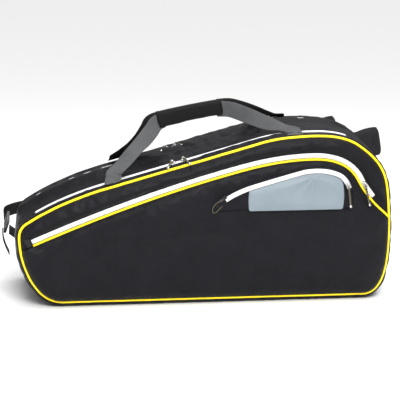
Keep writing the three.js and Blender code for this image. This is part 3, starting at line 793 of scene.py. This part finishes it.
# ---- front and back panels ----
def seam_tuck(distance, depth, reach):
    """How far a sheet falls back towards the seam that it is sewn into."""
    return depth * np.exp(-distance / reach)


PANEL_BAND = 10.5
CROWN_SHARE = 0.3


def offset(points, out, closed=False):
    return points + outward(points, closed) * out


def front_panel_depth(points):
    edge = distance_to(points, OUTLINE_COARSE, closed=True)
    tape = np.maximum(distance_to(points, SEAM_COARSE) - 13, 0)
    above = 1 - inside(points, POCKET_LOOP)
    share = tape / (edge + tape + 1e-6)
    crown = np.where(share < CROWN_SHARE, share / CROWN_SHARE, (1 - share) / (1 - CROWN_SHARE))
    wide = smooth_step((edge + tape) / 40)
    band = PANEL_BAND * wide * np.sin(math.pi / 2 * crown) ** 1.2 * above
    waves = above * smooth_step(np.minimum(edge, tape) / 18)
    waves = waves * (1.6 * ripple(points, 38, 1) + 0.7 * ripple(points, 14, 2))
    return Y_FACE - 0.3 + seam_tuck(edge, 3.6, 4.5) - band - waves


OUTLINE_COARSE = resampled(OUTLINE, 12, closed=True)
SEAM_COARSE = resampled(POCKET_SEAM, 12)
low_end = np.array([k for k, (x, z) in enumerate(OUTLINE) if z < (172 if x > 0 else 122)])
rim = np.roll(OUTLINE[low_end], -int(np.argmax(np.diff(low_end) > 1)) - 1, axis=0)
POCKET_LOOP = np.vstack([offset(POCKET_SEAM, -1.2), offset(rim, -0.8)])


def add_front_panel():
    piece = panel("front_panel_cloth", offset(OUTLINE, -0.8, True), 7, front_panel_depth)
    points = coordinates(piece)[:, [0, 2]] / MM
    still = distance_to(points, OUTLINE_COARSE, closed=True) < 5
    still |= distance_to(points, SEAM_COARSE) < 15
    still |= inside(points, POCKET_LOOP)
    billow(piece, still, 2.0, 0.02, 4.0)
    cloth_sheet(piece, 1.5, SHELL, ["front_panel"])


def add_back_panel():
    quilt = 62.0

    def depth(points):
        edge = distance_to(points, OUTLINE_COARSE, closed=True)
        seams = np.abs((points[:, 0] + quilt / 2) % quilt - quilt / 2)
        channel = 1.6 * np.exp(-((seams / 3.5) ** 2)) * smooth_step(edge / 25)
        return Y_BACK - seam_tuck(edge, 3.4, 5) - channel + 0.5 * ripple(points, 30, 4)

    piece = panel("back_panel_padding", offset(OUTLINE, -0.8, True), 7, depth)
    piece.data.flip_normals()
    cloth_sheet(piece, 3.0, PAD, ["back_panel"])


add_front_panel()
add_back_panel()


# ---- large front pocket ----
def pocket_depth(points):
    rim_edge = distance_to(points, OUTLINE_COARSE, closed=True)
    seam_edge = distance_to(points, SEAM_COARSE)
    full = Y_FACE - Y_POCKET
    swell = full * np.minimum(1 - np.exp(-rim_edge / 9), 1 - np.exp(-(seam_edge + 1) / 8))
    waves = smooth_step(np.minimum(rim_edge, seam_edge) / 20)
    waves = waves * (1.1 * ripple(points, 60, 5) + 0.5 * ripple(points, 21, 6))
    pucker = 0.8 * np.exp(-rim_edge / 12) * ripple(points * (1.0, 0.25), 6, 8) * (rim_edge > 2)
    return Y_FACE + seam_tuck(rim_edge, 3.0, 4) - 0.8 - swell - waves - pucker


def add_front_pocket():
    piece = panel("front_pocket_cloth", POCKET_LOOP, 7, pocket_depth)
    points = coordinates(piece)[:, [0, 2]] / MM
    still = distance_to(points, OUTLINE_COARSE, closed=True) < 4
    still |= distance_to(points, SEAM_COARSE) < 5
    still |= inside(points, offset(SMALL_LOOP, -4, True))
    billow(piece, still, 1.5, 0.012, 4.0)
    cloth_sheet(piece, 1.2, SHELL, ["front_pocket"])


def add_pocket_zip():
    run = resampled(POCKET_SEAM, 4)
    run = run[(run[:, 0] < 330) | (run[:, 1] > 215)]
    section = tape_profile(4.9, 2.2)
    profile = [(POCKET_ZIP_OUT + x, Y_FACE - 0.6 - h) for x, h in section] + [(POCKET_ZIP_OUT, Y_FACE + 1)]
    piece = swept("front_pocket_zip_tape", run, profile)
    dress(piece, SLIM_TAPE, replaces=["front_pocket_zip"])
    seam = resampled(POCKET_SEAM, 5)
    path = np.column_stack([seam[:, 0], np.full(len(seam), Y_FACE - 3.2), seam[:, 1]])
    node = "front_pocket_piping"
    tube("front_pocket_piping_cord", path, 2.3, PIPING, sides=12, replaces=[node])


def add_zip_garage():
    """The folded black tab over the large pocket zip's low end."""
    across = np.linspace(-10.5, 10.5, 9)
    along = np.linspace(-5.5, 5.5, 7)
    turn = math.radians(GARAGE_TURN)
    rows = []
    for a in along:
        row = []
        for c in across:
            lift = 2.6 * (1 - (abs(a) / 5.6) ** 6) * (1 - (abs(c) / 10.7) ** 8) + 0.3 * math.cos(c)
            x = GARAGE_X + a * math.cos(turn) - c * math.sin(turn)
            z = GARAGE_Z + a * math.sin(turn) + c * math.cos(turn)
            row.append((x, Y_FACE - 1.2 - lift, z))
        rows.append(row)
    tab = skin("front_pocket_zip_tab", rows)
    cloth_sheet(tab, 1.2, BINDING, ["front_pocket_zip_end"], 1)


# ---- small front pocket ----
SMALL_HEM = 8
SMALL_LOOP = np.vstack([
    offset(SMALL_ZIP, SMALL_HEM),
    bezier((4, SMALL_FOOT), (292, SMALL_FOOT), samples=12),
    [(292, SMALL_FOOT)],
])
SMALL_COARSE = resampled(SMALL_LOOP, 6, closed=True)


def small_depth(points):
    edge = distance_to(points, SMALL_COARSE, closed=True)
    rise = 1 - np.exp(-edge / 3.2)
    waves = smooth_step(edge / 14) * 0.6 * ripple(points, 24, 9)
    return Y_POCKET + 0.6 - (Y_POCKET - Y_SMALL) * rise - waves


def add_small_pocket():
    piece = panel("small_pocket_cloth", SMALL_LOOP, 5, small_depth)
    cloth_sheet(piece, 1.2, SHELL, ["small_pocket"])
    run = resampled(SMALL_ZIP, 3)
    run = run[(run[:, 0] > 34) & ((run[:, 0] < 282) | (run[:, 1] > 236))]
    section = tape_profile(4.6, 2.0, 0.4)
    profile = [(x, Y_SMALL - 0.5 - h) for x, h in section] + [(0, Y_SMALL + 0.6)]
    tape = swept("small_pocket_zip_tape", run, profile)
    dress(tape, SLIM_TAPE, replaces=["small_pocket_zip"])


def add_accent():
    """The satin panel under the small zip, with folds that fan out from the zip."""
    zip_edge = offset(resampled(SMALL_ZIP, 4), -5.2)
    top = zip_edge[(zip_edge[:, 0] > 84) & (zip_edge[:, 0] < 270) & (zip_edge[:, 1] > 222)]
    left_side = bezier((81, 235.5), (77.5, 215), (81, 193.5), samples=10)
    right_side = bezier((269, 193.5), (275, 220), (top[0, 0] + 0.5, top[0, 1] - 0.5), samples=10)
    loop = np.vstack([top, left_side, bezier((81, 193.5), (269, 193.5), samples=20), right_side])
    edges = resampled(loop, 5, closed=True)

    def depth(points):
        edge = distance_to(points, edges, closed=True)
        away = points - (212, 262)
        angle = np.arctan2(away[:, 1], away[:, 0])
        far = np.hypot(*away.T)
        fan = np.sin(angle * 11 + 0.6) * smooth_step(far / 18) * np.exp(-far / 42)
        puff = 2.2 * smooth_step(edge / 16)
        folds = 1.5 * fan * smooth_step(edge / 8)
        waves = 0.7 * ripple(points, 26, 11) * smooth_step(edge / 10)
        return Y_SMALL - 1.3 + 0.7 * np.exp(-edge / 1.5) - puff - folds - waves

    piece = panel("accent_panel_cloth", loop, 4, depth)
    cloth_sheet(piece, 0.8, ACCENT, ["accent_panel"])


def add_small_zip_end():
    """The black tab and its thin cord loop at the small zip's low end."""
    rows = []
    for a in np.linspace(0, 1, 9):
        x, z = 36 - 15 * a, 223.5 - 10.5 * a
        wide = 5.2 - 1.6 * a
        rows.append([
            (x - 0.62 * c * wide, Y_SMALL - 0.9 - 2.0 * (1 - c * c) * (1 - 0.5 * a), z + 0.78 * c * wide)
            for c in np.linspace(-1, 1, 7)
        ])
    piece = thicken(skin("small_pocket_zip_tab", rows), 0.9, 1)
    dress(piece, BINDING)
    way = np.vstack([
        bezier((30, 219), (10, 212), (6, 200), (9, 193), samples=14),
        bezier((9, 193), (15, 190), (19, 198), (30, 208), samples=12),
    ])
    path = np.column_stack([way[:, 0], np.full(len(way), Y_SMALL - 1.8), way[:, 1]])
    tube("small_pocket_zip_cord", path, 0.8, CORD, sides=8)


add_front_pocket()
add_pocket_zip()
add_zip_garage()
add_small_pocket()
add_accent()
add_small_zip_end()

# ---- sliders and pulls ----
PULL_LONG = 46
CORD_R = 1.15
SLIDER_TALL = 5
RAMP = math.atan2(RAMP_HEAD[1] - RAMP_FOOT[1], RAMP_HEAD[0] - RAMP_FOOT[0])
RAMP_ALONG = np.array([math.cos(RAMP), 0, math.sin(RAMP)])
RAMP_AWAY = np.array([-math.sin(RAMP), 0, math.cos(RAMP)])


def placed(points, at, x_way, z_way):
    x = np.asarray(x_way, float) / np.linalg.norm(x_way)
    z = np.asarray(z_way, float)
    z = z - x * (z @ x)
    z /= np.linalg.norm(z)
    turn = np.column_stack([x, np.cross(z, x), z])
    return np.asarray(points, float) @ turn.T + np.asarray(at, float)


def slider_plate(name, at, along, away, body, replaces):
    """The slider's bevelled plate, with its outline in its own X and Y."""
    ring = np.array(SLIDER_OUTLINE, float)
    n = len(ring)
    verts = np.vstack([np.column_stack([ring, np.full(n, z)]) for z in (0.1, 2.6)])
    faces = [tuple(range(n))[::-1], tuple(range(n, 2 * n))]
    faces += [(k, (k + 1) % n, n + (k + 1) % n, n + k) for k in range(n)]
    uvs = [(verts[k][0] * MM, verts[k][1] * MM) for f in faces for k in f]
    piece = make(name, placed(verts, at, along, away), faces, uvs, closed=True)
    modifier(piece, "BEVEL", width=0.7 * MM, segments=3, limit_method="ANGLE")
    return dress(piece, NICKEL, body, replaces)


SLIDER_SIDE = [(-6.5, -2.4), (-4.5, -3.0), (0, -3.6), (3.6, -4.5), (5.6, -4.1), (6.5, -2.6)]
SLIDER_OUTLINE = SLIDER_SIDE + [(x, -y) for x, y in SLIDER_SIDE[::-1]]


def add_slider(name, at, along, away, pull_to):
    """A slider with its bridge, and the ring, cord loop and bead that hang from it."""
    at, along, away = (np.array(v, float) for v in (at, along, away))
    body = f"{name}_zip_slider"
    slider_plate(f"{name}_slider_body", at, along, away, body, [f"{name}_slider"])
    bridge = [(x, 0, z) for x, z in bezier((-4.2, 1.9), (-4.6, 6.0), (3.4, 6.4), (4.0, 1.9), samples=14)]
    tube(f"{name}_slider_bridge", placed(bridge, at, along, away), 0.95, NICKEL, body, sides=8)
    hinge = at + away * (SLIDER_TALL + 3.4)
    down = np.array(pull_to, float) / np.linalg.norm(pull_to)
    side = np.cross(down, away)
    side /= np.linalg.norm(side)
    rides = f"{name}_zip_pull"
    turns = np.linspace(0, 2 * math.pi, 25)[:-1]
    middle = hinge - away * 2.2 + down * 3.2
    ring = [middle + side * 2.7 * math.cos(a) + down * 4.6 * math.sin(a) for a in turns]
    tube(f"{name}_pull_ring", ring, 0.75, NICKEL, rides, sides=8, closed=True)
    over = np.cross(side, down)
    start, length = 6.8, PULL_LONG - 6.8 - 4.5
    shares = np.linspace(0, 1, 30)
    middles = [hinge - away * 2.2 * (1 - t) + down * (start + length * t) for t in shares]
    for label, sign, replaced in (("a", 1, [f"{name}_pull"]), ("b", -1, ())):
        strand = [
            m + sign * CORD_R * (side * math.cos(7 * math.pi * t) + over * math.sin(7 * math.pi * t))
            for m, t in zip(middles, shares)
        ]
        tube(f"{name}_pull_cord_{label}", strand, CORD_R, CORD, rides, 8, replaced)
    top = [
        hinge - away * 2.2 + down * (6.2 - 1.5 * math.sin(a)) + side * CORD_R * math.cos(a)
        for a in np.linspace(0, math.pi, 9)
    ]
    tube(f"{name}_pull_cord_top", top, CORD_R, CORD, rides, sides=8)
    steps = np.linspace(-1, 1, 13)
    bead = [hinge + down * (PULL_LONG - 3.6 + 3.2 * s) for s in steps]
    radii = [0.5 + 2.3 * math.sqrt(max(0.0, 1 - abs(s) ** 3.5)) for s in steps]
    tube(f"{name}_pull_bead", bead, np.array(radii), NICKEL, rides, sides=14)


def on_ramp(x, zip_y):
    """The foot of a slider at x on the straight stretch of a main zip."""
    level = 0.95 * swell_of(RAMP_AWAY[2]) + 0.6 + 0.4
    rise = (RAMP_HEAD[1] - RAMP_FOOT[1]) / (RAMP_HEAD[0] - RAMP_FOOT[0])
    foot = np.array([x, zip_y, RAMP_FOOT[1] + (x - RAMP_FOOT[0]) * rise])
    return foot + RAMP_AWAY * level


def add_sliders():
    for name, zip_y, left, right in (
        ("front_main", FRONT_ZIP_Y, 0.24, 0.19),
        ("rear_main", REAR_ZIP_Y, 0.16, 0.04),
    ):
        add_slider(f"{name}_left", on_ramp(-64, zip_y), RAMP_ALONG, RAMP_AWAY, (-0.25, -1, -left))
        add_slider(f"{name}_right", on_ramp(-42, zip_y), -RAMP_ALONG, RAMP_AWAY, (0.25, -1, -right))
    for name, x, z, r, at, y, pull in (
        ("front_pocket", 219, 190, 110.4, 0.49, Y_FACE - 3.8, (0.2, -0.1, -1)),
        ("small_pocket", 232, 222, 51.5, 0.44, Y_SMALL - 2.8, (0.1, -0.02, -1)),
    ):
        c, d = math.cos(at), math.sin(at)
        add_slider(name, (x + r * c, y, z + r * d), (d, 0, -c), (0, -1, 0), pull)


add_sliders()

# ---- carry handle ----
GRIP_FROM = np.array([-90, Y_MIDDLE, 358.0])
GRIP_TO = np.array([44, Y_MIDDLE, 383.0])
GRIP_TALL, GRIP_DEEP = 34, 26
GRIP_ALONG = (GRIP_TO - GRIP_FROM) / np.linalg.norm(GRIP_TO - GRIP_FROM)
GRIP_UP = np.array([-GRIP_ALONG[2], 0, GRIP_ALONG[0]])


def smooth_through(points, count):
    """Points of a Catmull-Rom curve through a few 3-D points."""
    p = np.asarray(points, float)
    p = np.vstack([2 * p[0] - p[1], p, 2 * p[-1] - p[-2]])
    out = []
    for place in np.linspace(0, len(p) - 3, count):
        k = min(int(place), len(p) - 4)
        t = place - k
        a, b, c, d = p[k:k + 4]
        square, cube = 2 * a - 5 * b + 4 * c - d, 3 * b - a - 3 * c + d
        out.append(0.5 * (2 * b + (c - a) * t + square * t**2 + cube * t**3))
    return np.array(out)


def strap_rows(centres, widths, wide, thick, puff=0.0, border=0.0):
    """Closed sections of a strap along its centre line; puff lets its middle swell over a border."""
    d = np.gradient(centres, axis=0)
    d /= np.linalg.norm(d, axis=1, keepdims=True)
    w = widths - d * np.sum(widths * d, axis=1, keepdims=True)
    w /= np.linalg.norm(w, axis=1, keepdims=True)
    up = np.cross(d, w)
    half = wide / 2
    shares = np.array([0.25, 0.5, 0.7, 0.84, 0.93, 0.985, 1])
    xs = np.concatenate([-shares[::-1], [0], shares]) * half
    inner = np.clip((half - border - np.abs(xs)) / max(half * 0.35, 1e-6), 0, 1)
    flat = thick / 2 * np.sqrt(np.clip(1 - (np.abs(xs) / half) ** 24, 0, 1))
    level = flat + puff / 2 * np.sqrt(1 - (1 - inner) ** 2) if puff else flat
    ring = [(x, h) for x, h in zip(xs, level)] + [(x, -h) for x, h in zip(xs[-2:0:-1], level[-2:0:-1])]
    ring = np.array(ring)
    return centres[:, None] + w[:, None] * ring[None, :, :1] + up[:, None] * ring[None, :, 1:]


def slerped(directions, count):
    d = np.asarray(directions, float)
    d /= np.linalg.norm(d, axis=1, keepdims=True)
    at = np.linspace(0, len(d) - 1, count)
    return np.column_stack([np.interp(at, range(len(d)), d[:, k]) for k in range(3)])


SHOULDER = (1, 0, 0.05)
INTO_LEFT_END = (0.75, 0, -0.62)
# Each leg's points as (x, distance from the middle plane, z), and the way its width lies.
LEGS = {
    "near_left": [
        ((-187, 122, 250.9), RAMP_ALONG), ((-186.5, 112, 254.6), RAMP_ALONG), ((-184, 105, 261), RAMP_ALONG),
        ((-182, 99, 268), RAMP_ALONG), ((-165, 86, 282), RAMP_ALONG), ((-139, 62, 306), (0.95, 0, 0.1)),
        ((-121, 42, 320), (0.9, 0, -0.2)), ((-104, 22, 336), (0.8, 0, -0.5)),
        ((-92, 10, 350), INTO_LEFT_END), ((-78, 6, 357), -GRIP_UP),
    ],
    "far_left": [
        ((-170, 122, 255.6), RAMP_ALONG), ((-169.5, 112, 258.8), RAMP_ALONG), ((-168, 105, 263), RAMP_ALONG),
        ((-167, 99, 268), RAMP_ALONG), ((-155, 84, 279), RAMP_ALONG), ((-134, 62, 296), (0.95, 0, 0.1)),
        ((-119, 42, 313), (0.9, 0, -0.2)), ((-108, 20, 334), (0.8, 0, -0.5)),
        ((-100, 9, 351), INTO_LEFT_END), ((-82, 6, 358), -GRIP_UP),
    ],
    "near_right": [
        ((176, 122, 340.8), SHOULDER), ((176, 112, 343.6), SHOULDER), ((174, 105, 346), SHOULDER),
        ((172, 99, 348), SHOULDER), ((154, 86, 350.5), SHOULDER), ((134, 68, 354), (0.8, 0.1, 0.4)),
        ((107, 42, 362), (0.4, 0.3, 0.75)), ((80, 18, 371), (0.1, 0.2, 1)),
        ((58, 8, 377), GRIP_UP), ((34, 6, 378), GRIP_UP),
    ],
    "far_right": [
        ((176, 122, 340.8), SHOULDER), ((176, 112, 343.6), SHOULDER), ((174, 105, 346), SHOULDER),
        ((172, 99, 348), SHOULDER), ((155, 86, 350.5), SHOULDER), ((134, 68, 354.5), (0.8, -0.1, 0.4)),
        ((108, 42, 365), (0.4, -0.2, 0.75)), ((80, 18, 376), (0.1, -0.1, 1)),
        ((58, 8, 382), GRIP_UP), ((34, 6, 381), GRIP_UP),
    ],
}
FOOT_STITCHES = [(-12, 0), (12, 0), (12, 1), (-12, 1), (-12, 0), (12, 1)]


def add_leg(leg, sign, material):
    """One end of a handle loop, from its sewn foot into the grip's open end."""
    route = [((x, Y_MIDDLE + sign * off, z), w) for (x, off, z), w in LEGS[leg]]
    centres = smooth_through([p for p, _ in route], 72)
    widths = slerped([w for _, w in route], 72)
    rows = strap_rows(centres, widths, WEBBING_WIDE, WEBBING_THICK)
    piece = skin(f"{leg}_handle_strap", rows, closed_v=True, caps=True)
    dress(piece, material, body=None, replaces=[f"{leg}_handle_webbing", f"{leg}_handle_tab"])
    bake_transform(piece)
    (x, y, z), along = route[0]
    along = np.array(along, float) / np.linalg.norm(along)
    path = [
        (x + along[0] * a, y - sign * (1 + 8 * b), z + along[2] * a + 2.2 + 2.9 * b)
        for a, b in FOOT_STITCHES
    ]
    lift = np.cross(along, (0, 1, 0))
    lift = lift if lift[2] > 0 else -lift
    # The far leg's black stitching is painted shade, like its black webbing.
    stitches(f"{leg}_handle_stitching", path, lift, GREY_THREAD if sign < 0 else BLACK_AND_SHADE_THREAD, "bag")


def grip_section(share, tall, deep, arch, sides=36):
    middle = GRIP_FROM + (GRIP_TO - GRIP_FROM) * share + GRIP_UP * arch * (1 - (2 * share - 1) ** 2)
    a = 2 * math.pi * (np.arange(sides) + 0.5) / sides
    c = np.sign(np.cos(a)) * np.abs(np.cos(a)) ** 0.62
    s = np.sign(np.sin(a)) * np.abs(np.sin(a)) ** 0.62
    return middle + np.outer(s * tall / 2, GRIP_UP) + np.outer(c * deep / 2, (0, 1, 0))


def add_grip():
    shares = np.linspace(0, 1, 40)
    rows = []
    for t in shares:
        end = min(t, 1 - t) * 134
        flare = 1.6 * math.exp(-((end / 5.5) ** 2))
        wave = 0.5 * noise.noise(Vector((t * 9, 2.0, 0.0)))
        ring = grip_section(t, GRIP_TALL - 4 + flare + wave, GRIP_DEEP - 5 + flare, 1.5)
        rows.append(ring)
    rows = np.array(rows)
    inner = np.array([grip_section(t, GRIP_TALL - 9, GRIP_DEEP - 12, 1.5) for t in (0.999, 0.93)])
    inner_start = np.array([grip_section(t, GRIP_TALL - 9, GRIP_DEEP - 12, 1.5) for t in (0.07, 0.001)])
    piece = skin("handle_grip_cover", np.concatenate([inner_start, rows, inner]), closed_v=True)
    soften(piece)
    dress(piece, GRIP, "carry_handle", ["handle_grip_wrap"])
    core = [GRIP_FROM + (GRIP_TO - GRIP_FROM) * t for t in np.linspace(-0.04, 1.04, 30)]
    rows = strap_rows(np.array(core), np.tile(GRIP_UP, (30, 1)), 26, 8)
    piece = skin("handle_grip_webbing", rows, closed_v=True, caps=True)
    dress(piece, BLACK_AND_SHADE_WEB, "carry_handle", ["handle_grip_core"])
    add_grip_flap()


def add_grip_flap():
    """The closing flap: a padded sheet that wraps over the near face of the grip."""
    rows = []
    for t in np.linspace(0.015, 0.985, 42):
        middle = GRIP_FROM + (GRIP_TO - GRIP_FROM) * t + GRIP_UP * 1.5 * (1 - (2 * t - 1) ** 2)
        low = -15.5 - 1.6 * smooth_step((0.45 - t) / 0.12) + 0.6 * noise.noise(Vector((t * 7, 9.0, 0.0)))
        row = []
        for s in np.linspace(0, 1, 14):
            up = 15.5 + (low - 15.5) * s
            puff = 1.2 * math.sin(math.pi * s) ** 0.4 + 0.35 * noise.noise(Vector((t * 22, s * 4, 3.0)))
            y = Y_MIDDLE - GRIP_DEEP / 2 + 0.9 - puff + 3.2 * max(0.0, (up - 10) / 5.5) ** 2
            row.append(middle + GRIP_UP * up + np.array([0, y - Y_MIDDLE, 0]))
        rows.append(row)
    flap = skin("handle_grip_flap_cover", rows)
    cloth_sheet(flap, 1.8, GRIP, ["handle_grip_flap"], 0, "grip_closure")
    edge = [np.array(r[-2]) + (0, -1.3, 0) for r in rows[1:-1]]
    stitches("handle_grip_flap_stitching", edge, (0, -1, 0), BLACK_AND_SHADE_THREAD, "grip_closure")


# The far legs are the same grey webbing as the near legs: their black webbing is painted shade, as their
# faces lie in shadow.
for leg in LEGS:
    if leg.startswith("near"):
        add_leg(leg, -1, GREY_WEB)
    else:
        add_leg(leg, 1, BLACK_AND_SHADE_WEB)
add_grip()

# ---- shoulder straps ----
TURN_R = 10
BASE_LONG = 70
Y_BASE = Y_BACK + 4.5
Y_TURN = Y_BASE + TURN_R
Y_PAD = Y_TURN + TURN_R
STRAP_WIDE = 60


def add_shoulder_strap(name, lane, seed):
    """One padded strap from its sewn base, round the turn at the right end, to its left end."""
    start = lane[0]
    t0 = (lane[1] - lane[0]) / np.linalg.norm(lane[1] - lane[0])
    centres, widths = [], []
    across = np.array([-t0[1], 0, t0[0]])
    for a in np.linspace(BASE_LONG, 6, 12):
        centres.append((start[0] + t0[0] * a, Y_BASE, start[1] + t0[1] * a))
        widths.append(across)
    for a in np.linspace(-math.pi / 2, math.pi / 2, 13):
        back = TURN_R * math.cos(a)
        centres.append((start[0] - t0[0] * back, Y_TURN + TURN_R * math.sin(a), start[1] - t0[1] * back))
        widths.append(across)
    for p, n in zip(lane[1:], outward(lane)[1:]):
        centres.append((p[0], Y_PAD, p[1]))
        widths.append(np.array([-n[0], 0, -n[1]]))
    centres, widths = np.array(centres), np.array(widths)
    rows = strap_rows(centres, -widths if widths[0] @ across < 0 else widths, STRAP_WIDE, 3.4, 5.6, 4.0)
    s = lengths(centres)
    for i, r in enumerate(rows):
        r[:, 1] += 0.7 * noise.noise(Vector((s[i] / 30, seed, 0)))
    piece = skin(f"{name}_shoulder_strap", rows, closed_v=True, caps=True)
    local = rows.reshape(-1, 3)
    middles, sideways = (np.repeat(a, rows.shape[1], 0) for a in (centres, widths))
    away = np.abs(np.sum((local - middles) * sideways, axis=1))
    billow(piece, (away > STRAP_WIDE / 2 - 5) | (local[:, 1] < Y_TURN), 3.0, 0.02, 3.0)
    soften(piece)
    dress(piece, PAD, body=None, replaces=[f"{name}_strap_base", f"{name}_strap_pad"])
    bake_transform(piece)
    return centres


UPPER_LANE = resampled(np.vstack([bezier((300, 305), (120, 262), (-60, 206)), [(-60, 206)]]), 9)
LOWER_LANE = resampled(np.vstack([bezier((395, 279), (325, 272), (300, 160), (-40, 118)), [(-40, 118)]]), 9)
add_shoulder_strap("upper", UPPER_LANE, 1.0)
add_shoulder_strap("lower", LOWER_LANE, 2.0)


def narrow_strap(name, points, width, body, replaces, wide=NARROW_WEBBING, thick=1.9, count=60):
    centres = smooth_through(points, count)
    rows = strap_rows(centres, np.tile(np.array(width, float), (count, 1)), wide, thick)
    piece = skin(name, rows, closed_v=True, caps=True)
    return dress(piece, BLACK_AND_SHADE_WEB, body, replaces)


UPPER_WEBBING = [
    (-58, Y_PAD, 206), (-140, Y_BACK + 19, 186), (-250, Y_BACK + 13, 168), (-335, Y_BACK + 9, 157),
    (-372, Y_BACK + 7, 152), (-394, Y_BACK - 5, 149), (-405, Y_BACK - 24, 148), (-407.5, Y_BACK - 45, 147),
]
LOWER_WEBBING = [
    (-38, Y_PAD, 118), (-120, Y_BACK + 19, 98), (-210, Y_BACK + 14, 84), (-280, Y_BACK + 11, 74),
    (-303, Y_BACK + 11, 68),
]
for name, points, width in (
    ("upper", UPPER_WEBBING, (0, 0.1, 1)),
    ("lower", LOWER_WEBBING, (0.2, 0, 1)),
):
    piece = narrow_strap(f"{name}_adjuster_webbing", points, width, None, [f"{name}_strap_webbing"])
    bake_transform(piece)

UPPER_TAB = [(-382.5, 31, 118), (-389, 37, 121), (-396, 44, 125)]
LOWER_TAB = [(-354, Y_BACK + 2, 53), (-346, Y_BACK + 3, 55), (-340, Y_BACK + 6, 57)]
UPPER_TAIL = [(-410, 60, 124), (-409.5, 58, 106), (-405, 60, 88), (-398, 64, 70)]
LOWER_TAIL = [(-320, Y_BACK + 10, 40), (-316, Y_BACK + 11, 26), (-312, Y_BACK + 11, 10)]
narrow_strap("upper_buckle_anchor", UPPER_TAB, (0.1, -0.45, 0.85), "bag", ["upper_strap_tab"], count=12)
narrow_strap("lower_buckle_anchor", LOWER_TAB, (-0.3, 0, 0.9), "bag", ["lower_strap_tab"], count=12)
for name, points, width, count in (
    ("upper", UPPER_TAIL, (0.03, 1, 0), 30),
    ("lower", LOWER_TAIL, (1, 0, 0.2), 24),
):
    replaced = [f"{name}_strap_tail"]
    narrow_strap(f"{name}_webbing_tail", points, width, f"{name}_buckle", replaced, 22, 1.6, count)


def add_ladder_lock(name, body):
    """The CAD frame of the buckle with its moulded edges rounded."""
    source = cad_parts[name]
    piece = bpy.data.objects.new(f"{name}_frame", source.data.copy())
    bpy.context.scene.collection.objects.link(piece)
    bm = bmesh.new()
    bm.from_mesh(piece.data)
    bmesh.ops.remove_doubles(bm, verts=bm.verts, dist=1e-5)
    bmesh.ops.dissolve_limit(bm, angle_limit=math.radians(2), verts=bm.verts, edges=bm.edges)
    bm.to_mesh(piece.data)
    bm.free()
    modifier(piece, "BEVEL", width=0.8 * MM, segments=3, limit_method="ANGLE")
    dress(piece, PLASTIC, body, [name])


add_ladder_lock("upper_ladder_lock", "upper_buckle")
add_ladder_lock("lower_ladder_lock", "lower_buckle")


# ---- stage and light ----
def add_stage():
    corners = [(-6000, -6000, 0), (6000, -6000, 0), (6000, 9000, 0), (-6000, 9000, 0)]
    floor = make("floor", corners, [(0, 1, 2, 3)])
    paper = Surface("white_paper", (0.86, 0.86, 0.86), Roughness=0.8)
    paper.bump(paper.cloud(300.0, 2.0), 0.05, 0.2)
    floor.data.materials.append(paper.material)
    world = bpy.data.worlds.new("studio")
    bpy.context.scene.world = world
    world.use_nodes = True
    tree = world.node_tree
    dim, bright = tree.nodes["Background"], tree.nodes.new("ShaderNodeBackground")
    dim.inputs["Color"].default_value = bright.inputs["Color"].default_value = (1, 1, 1, 1)
    dim.inputs["Strength"].default_value, bright.inputs["Strength"].default_value = 0.36, 1.0
    seen, mix = tree.nodes.new("ShaderNodeLightPath"), tree.nodes.new("ShaderNodeMixShader")
    tree.links.new(seen.outputs["Is Camera Ray"], mix.inputs["Fac"])
    tree.links.new(dim.outputs[0], mix.inputs[1])
    tree.links.new(bright.outputs[0], mix.inputs[2])
    tree.links.new(mix.outputs[0], tree.nodes["World Output"].inputs["Surface"])


def add_sun(name, way, angle, strength):
    sun = bpy.data.lights.new(name, "SUN")
    sun.angle, sun.energy = math.radians(angle), strength
    lamp = bpy.data.objects.new(name, sun)
    lamp.rotation_euler = Vector(way).to_track_quat("-Z", "Y").to_euler()
    bpy.context.scene.collection.objects.link(lamp)


def add_light(name, place, aim, size, power):
    light = bpy.data.lights.new(name, "AREA")
    light.shape, light.size, light.energy = "SQUARE", size, power
    lamp = bpy.data.objects.new(name, light)
    lamp.location = place
    lamp.rotation_euler = (Vector(aim) - Vector(place)).to_track_quat("-Z", "Y").to_euler()
    bpy.context.scene.collection.objects.link(lamp)


add_stage()
add_sun("overhead", (-0.15, 0.1, -1), 50, 2.1)
add_light("soft_box", (0.3, 0.9, 1.7), (0, 0, 0.3), 1.4, 10)
add_light("front_top", (0.1, -2.4, 1.95), (0, 0, 0.25), 1.5, 110)
add_camera()
bpy.context.scene.view_settings.view_transform = "Standard"
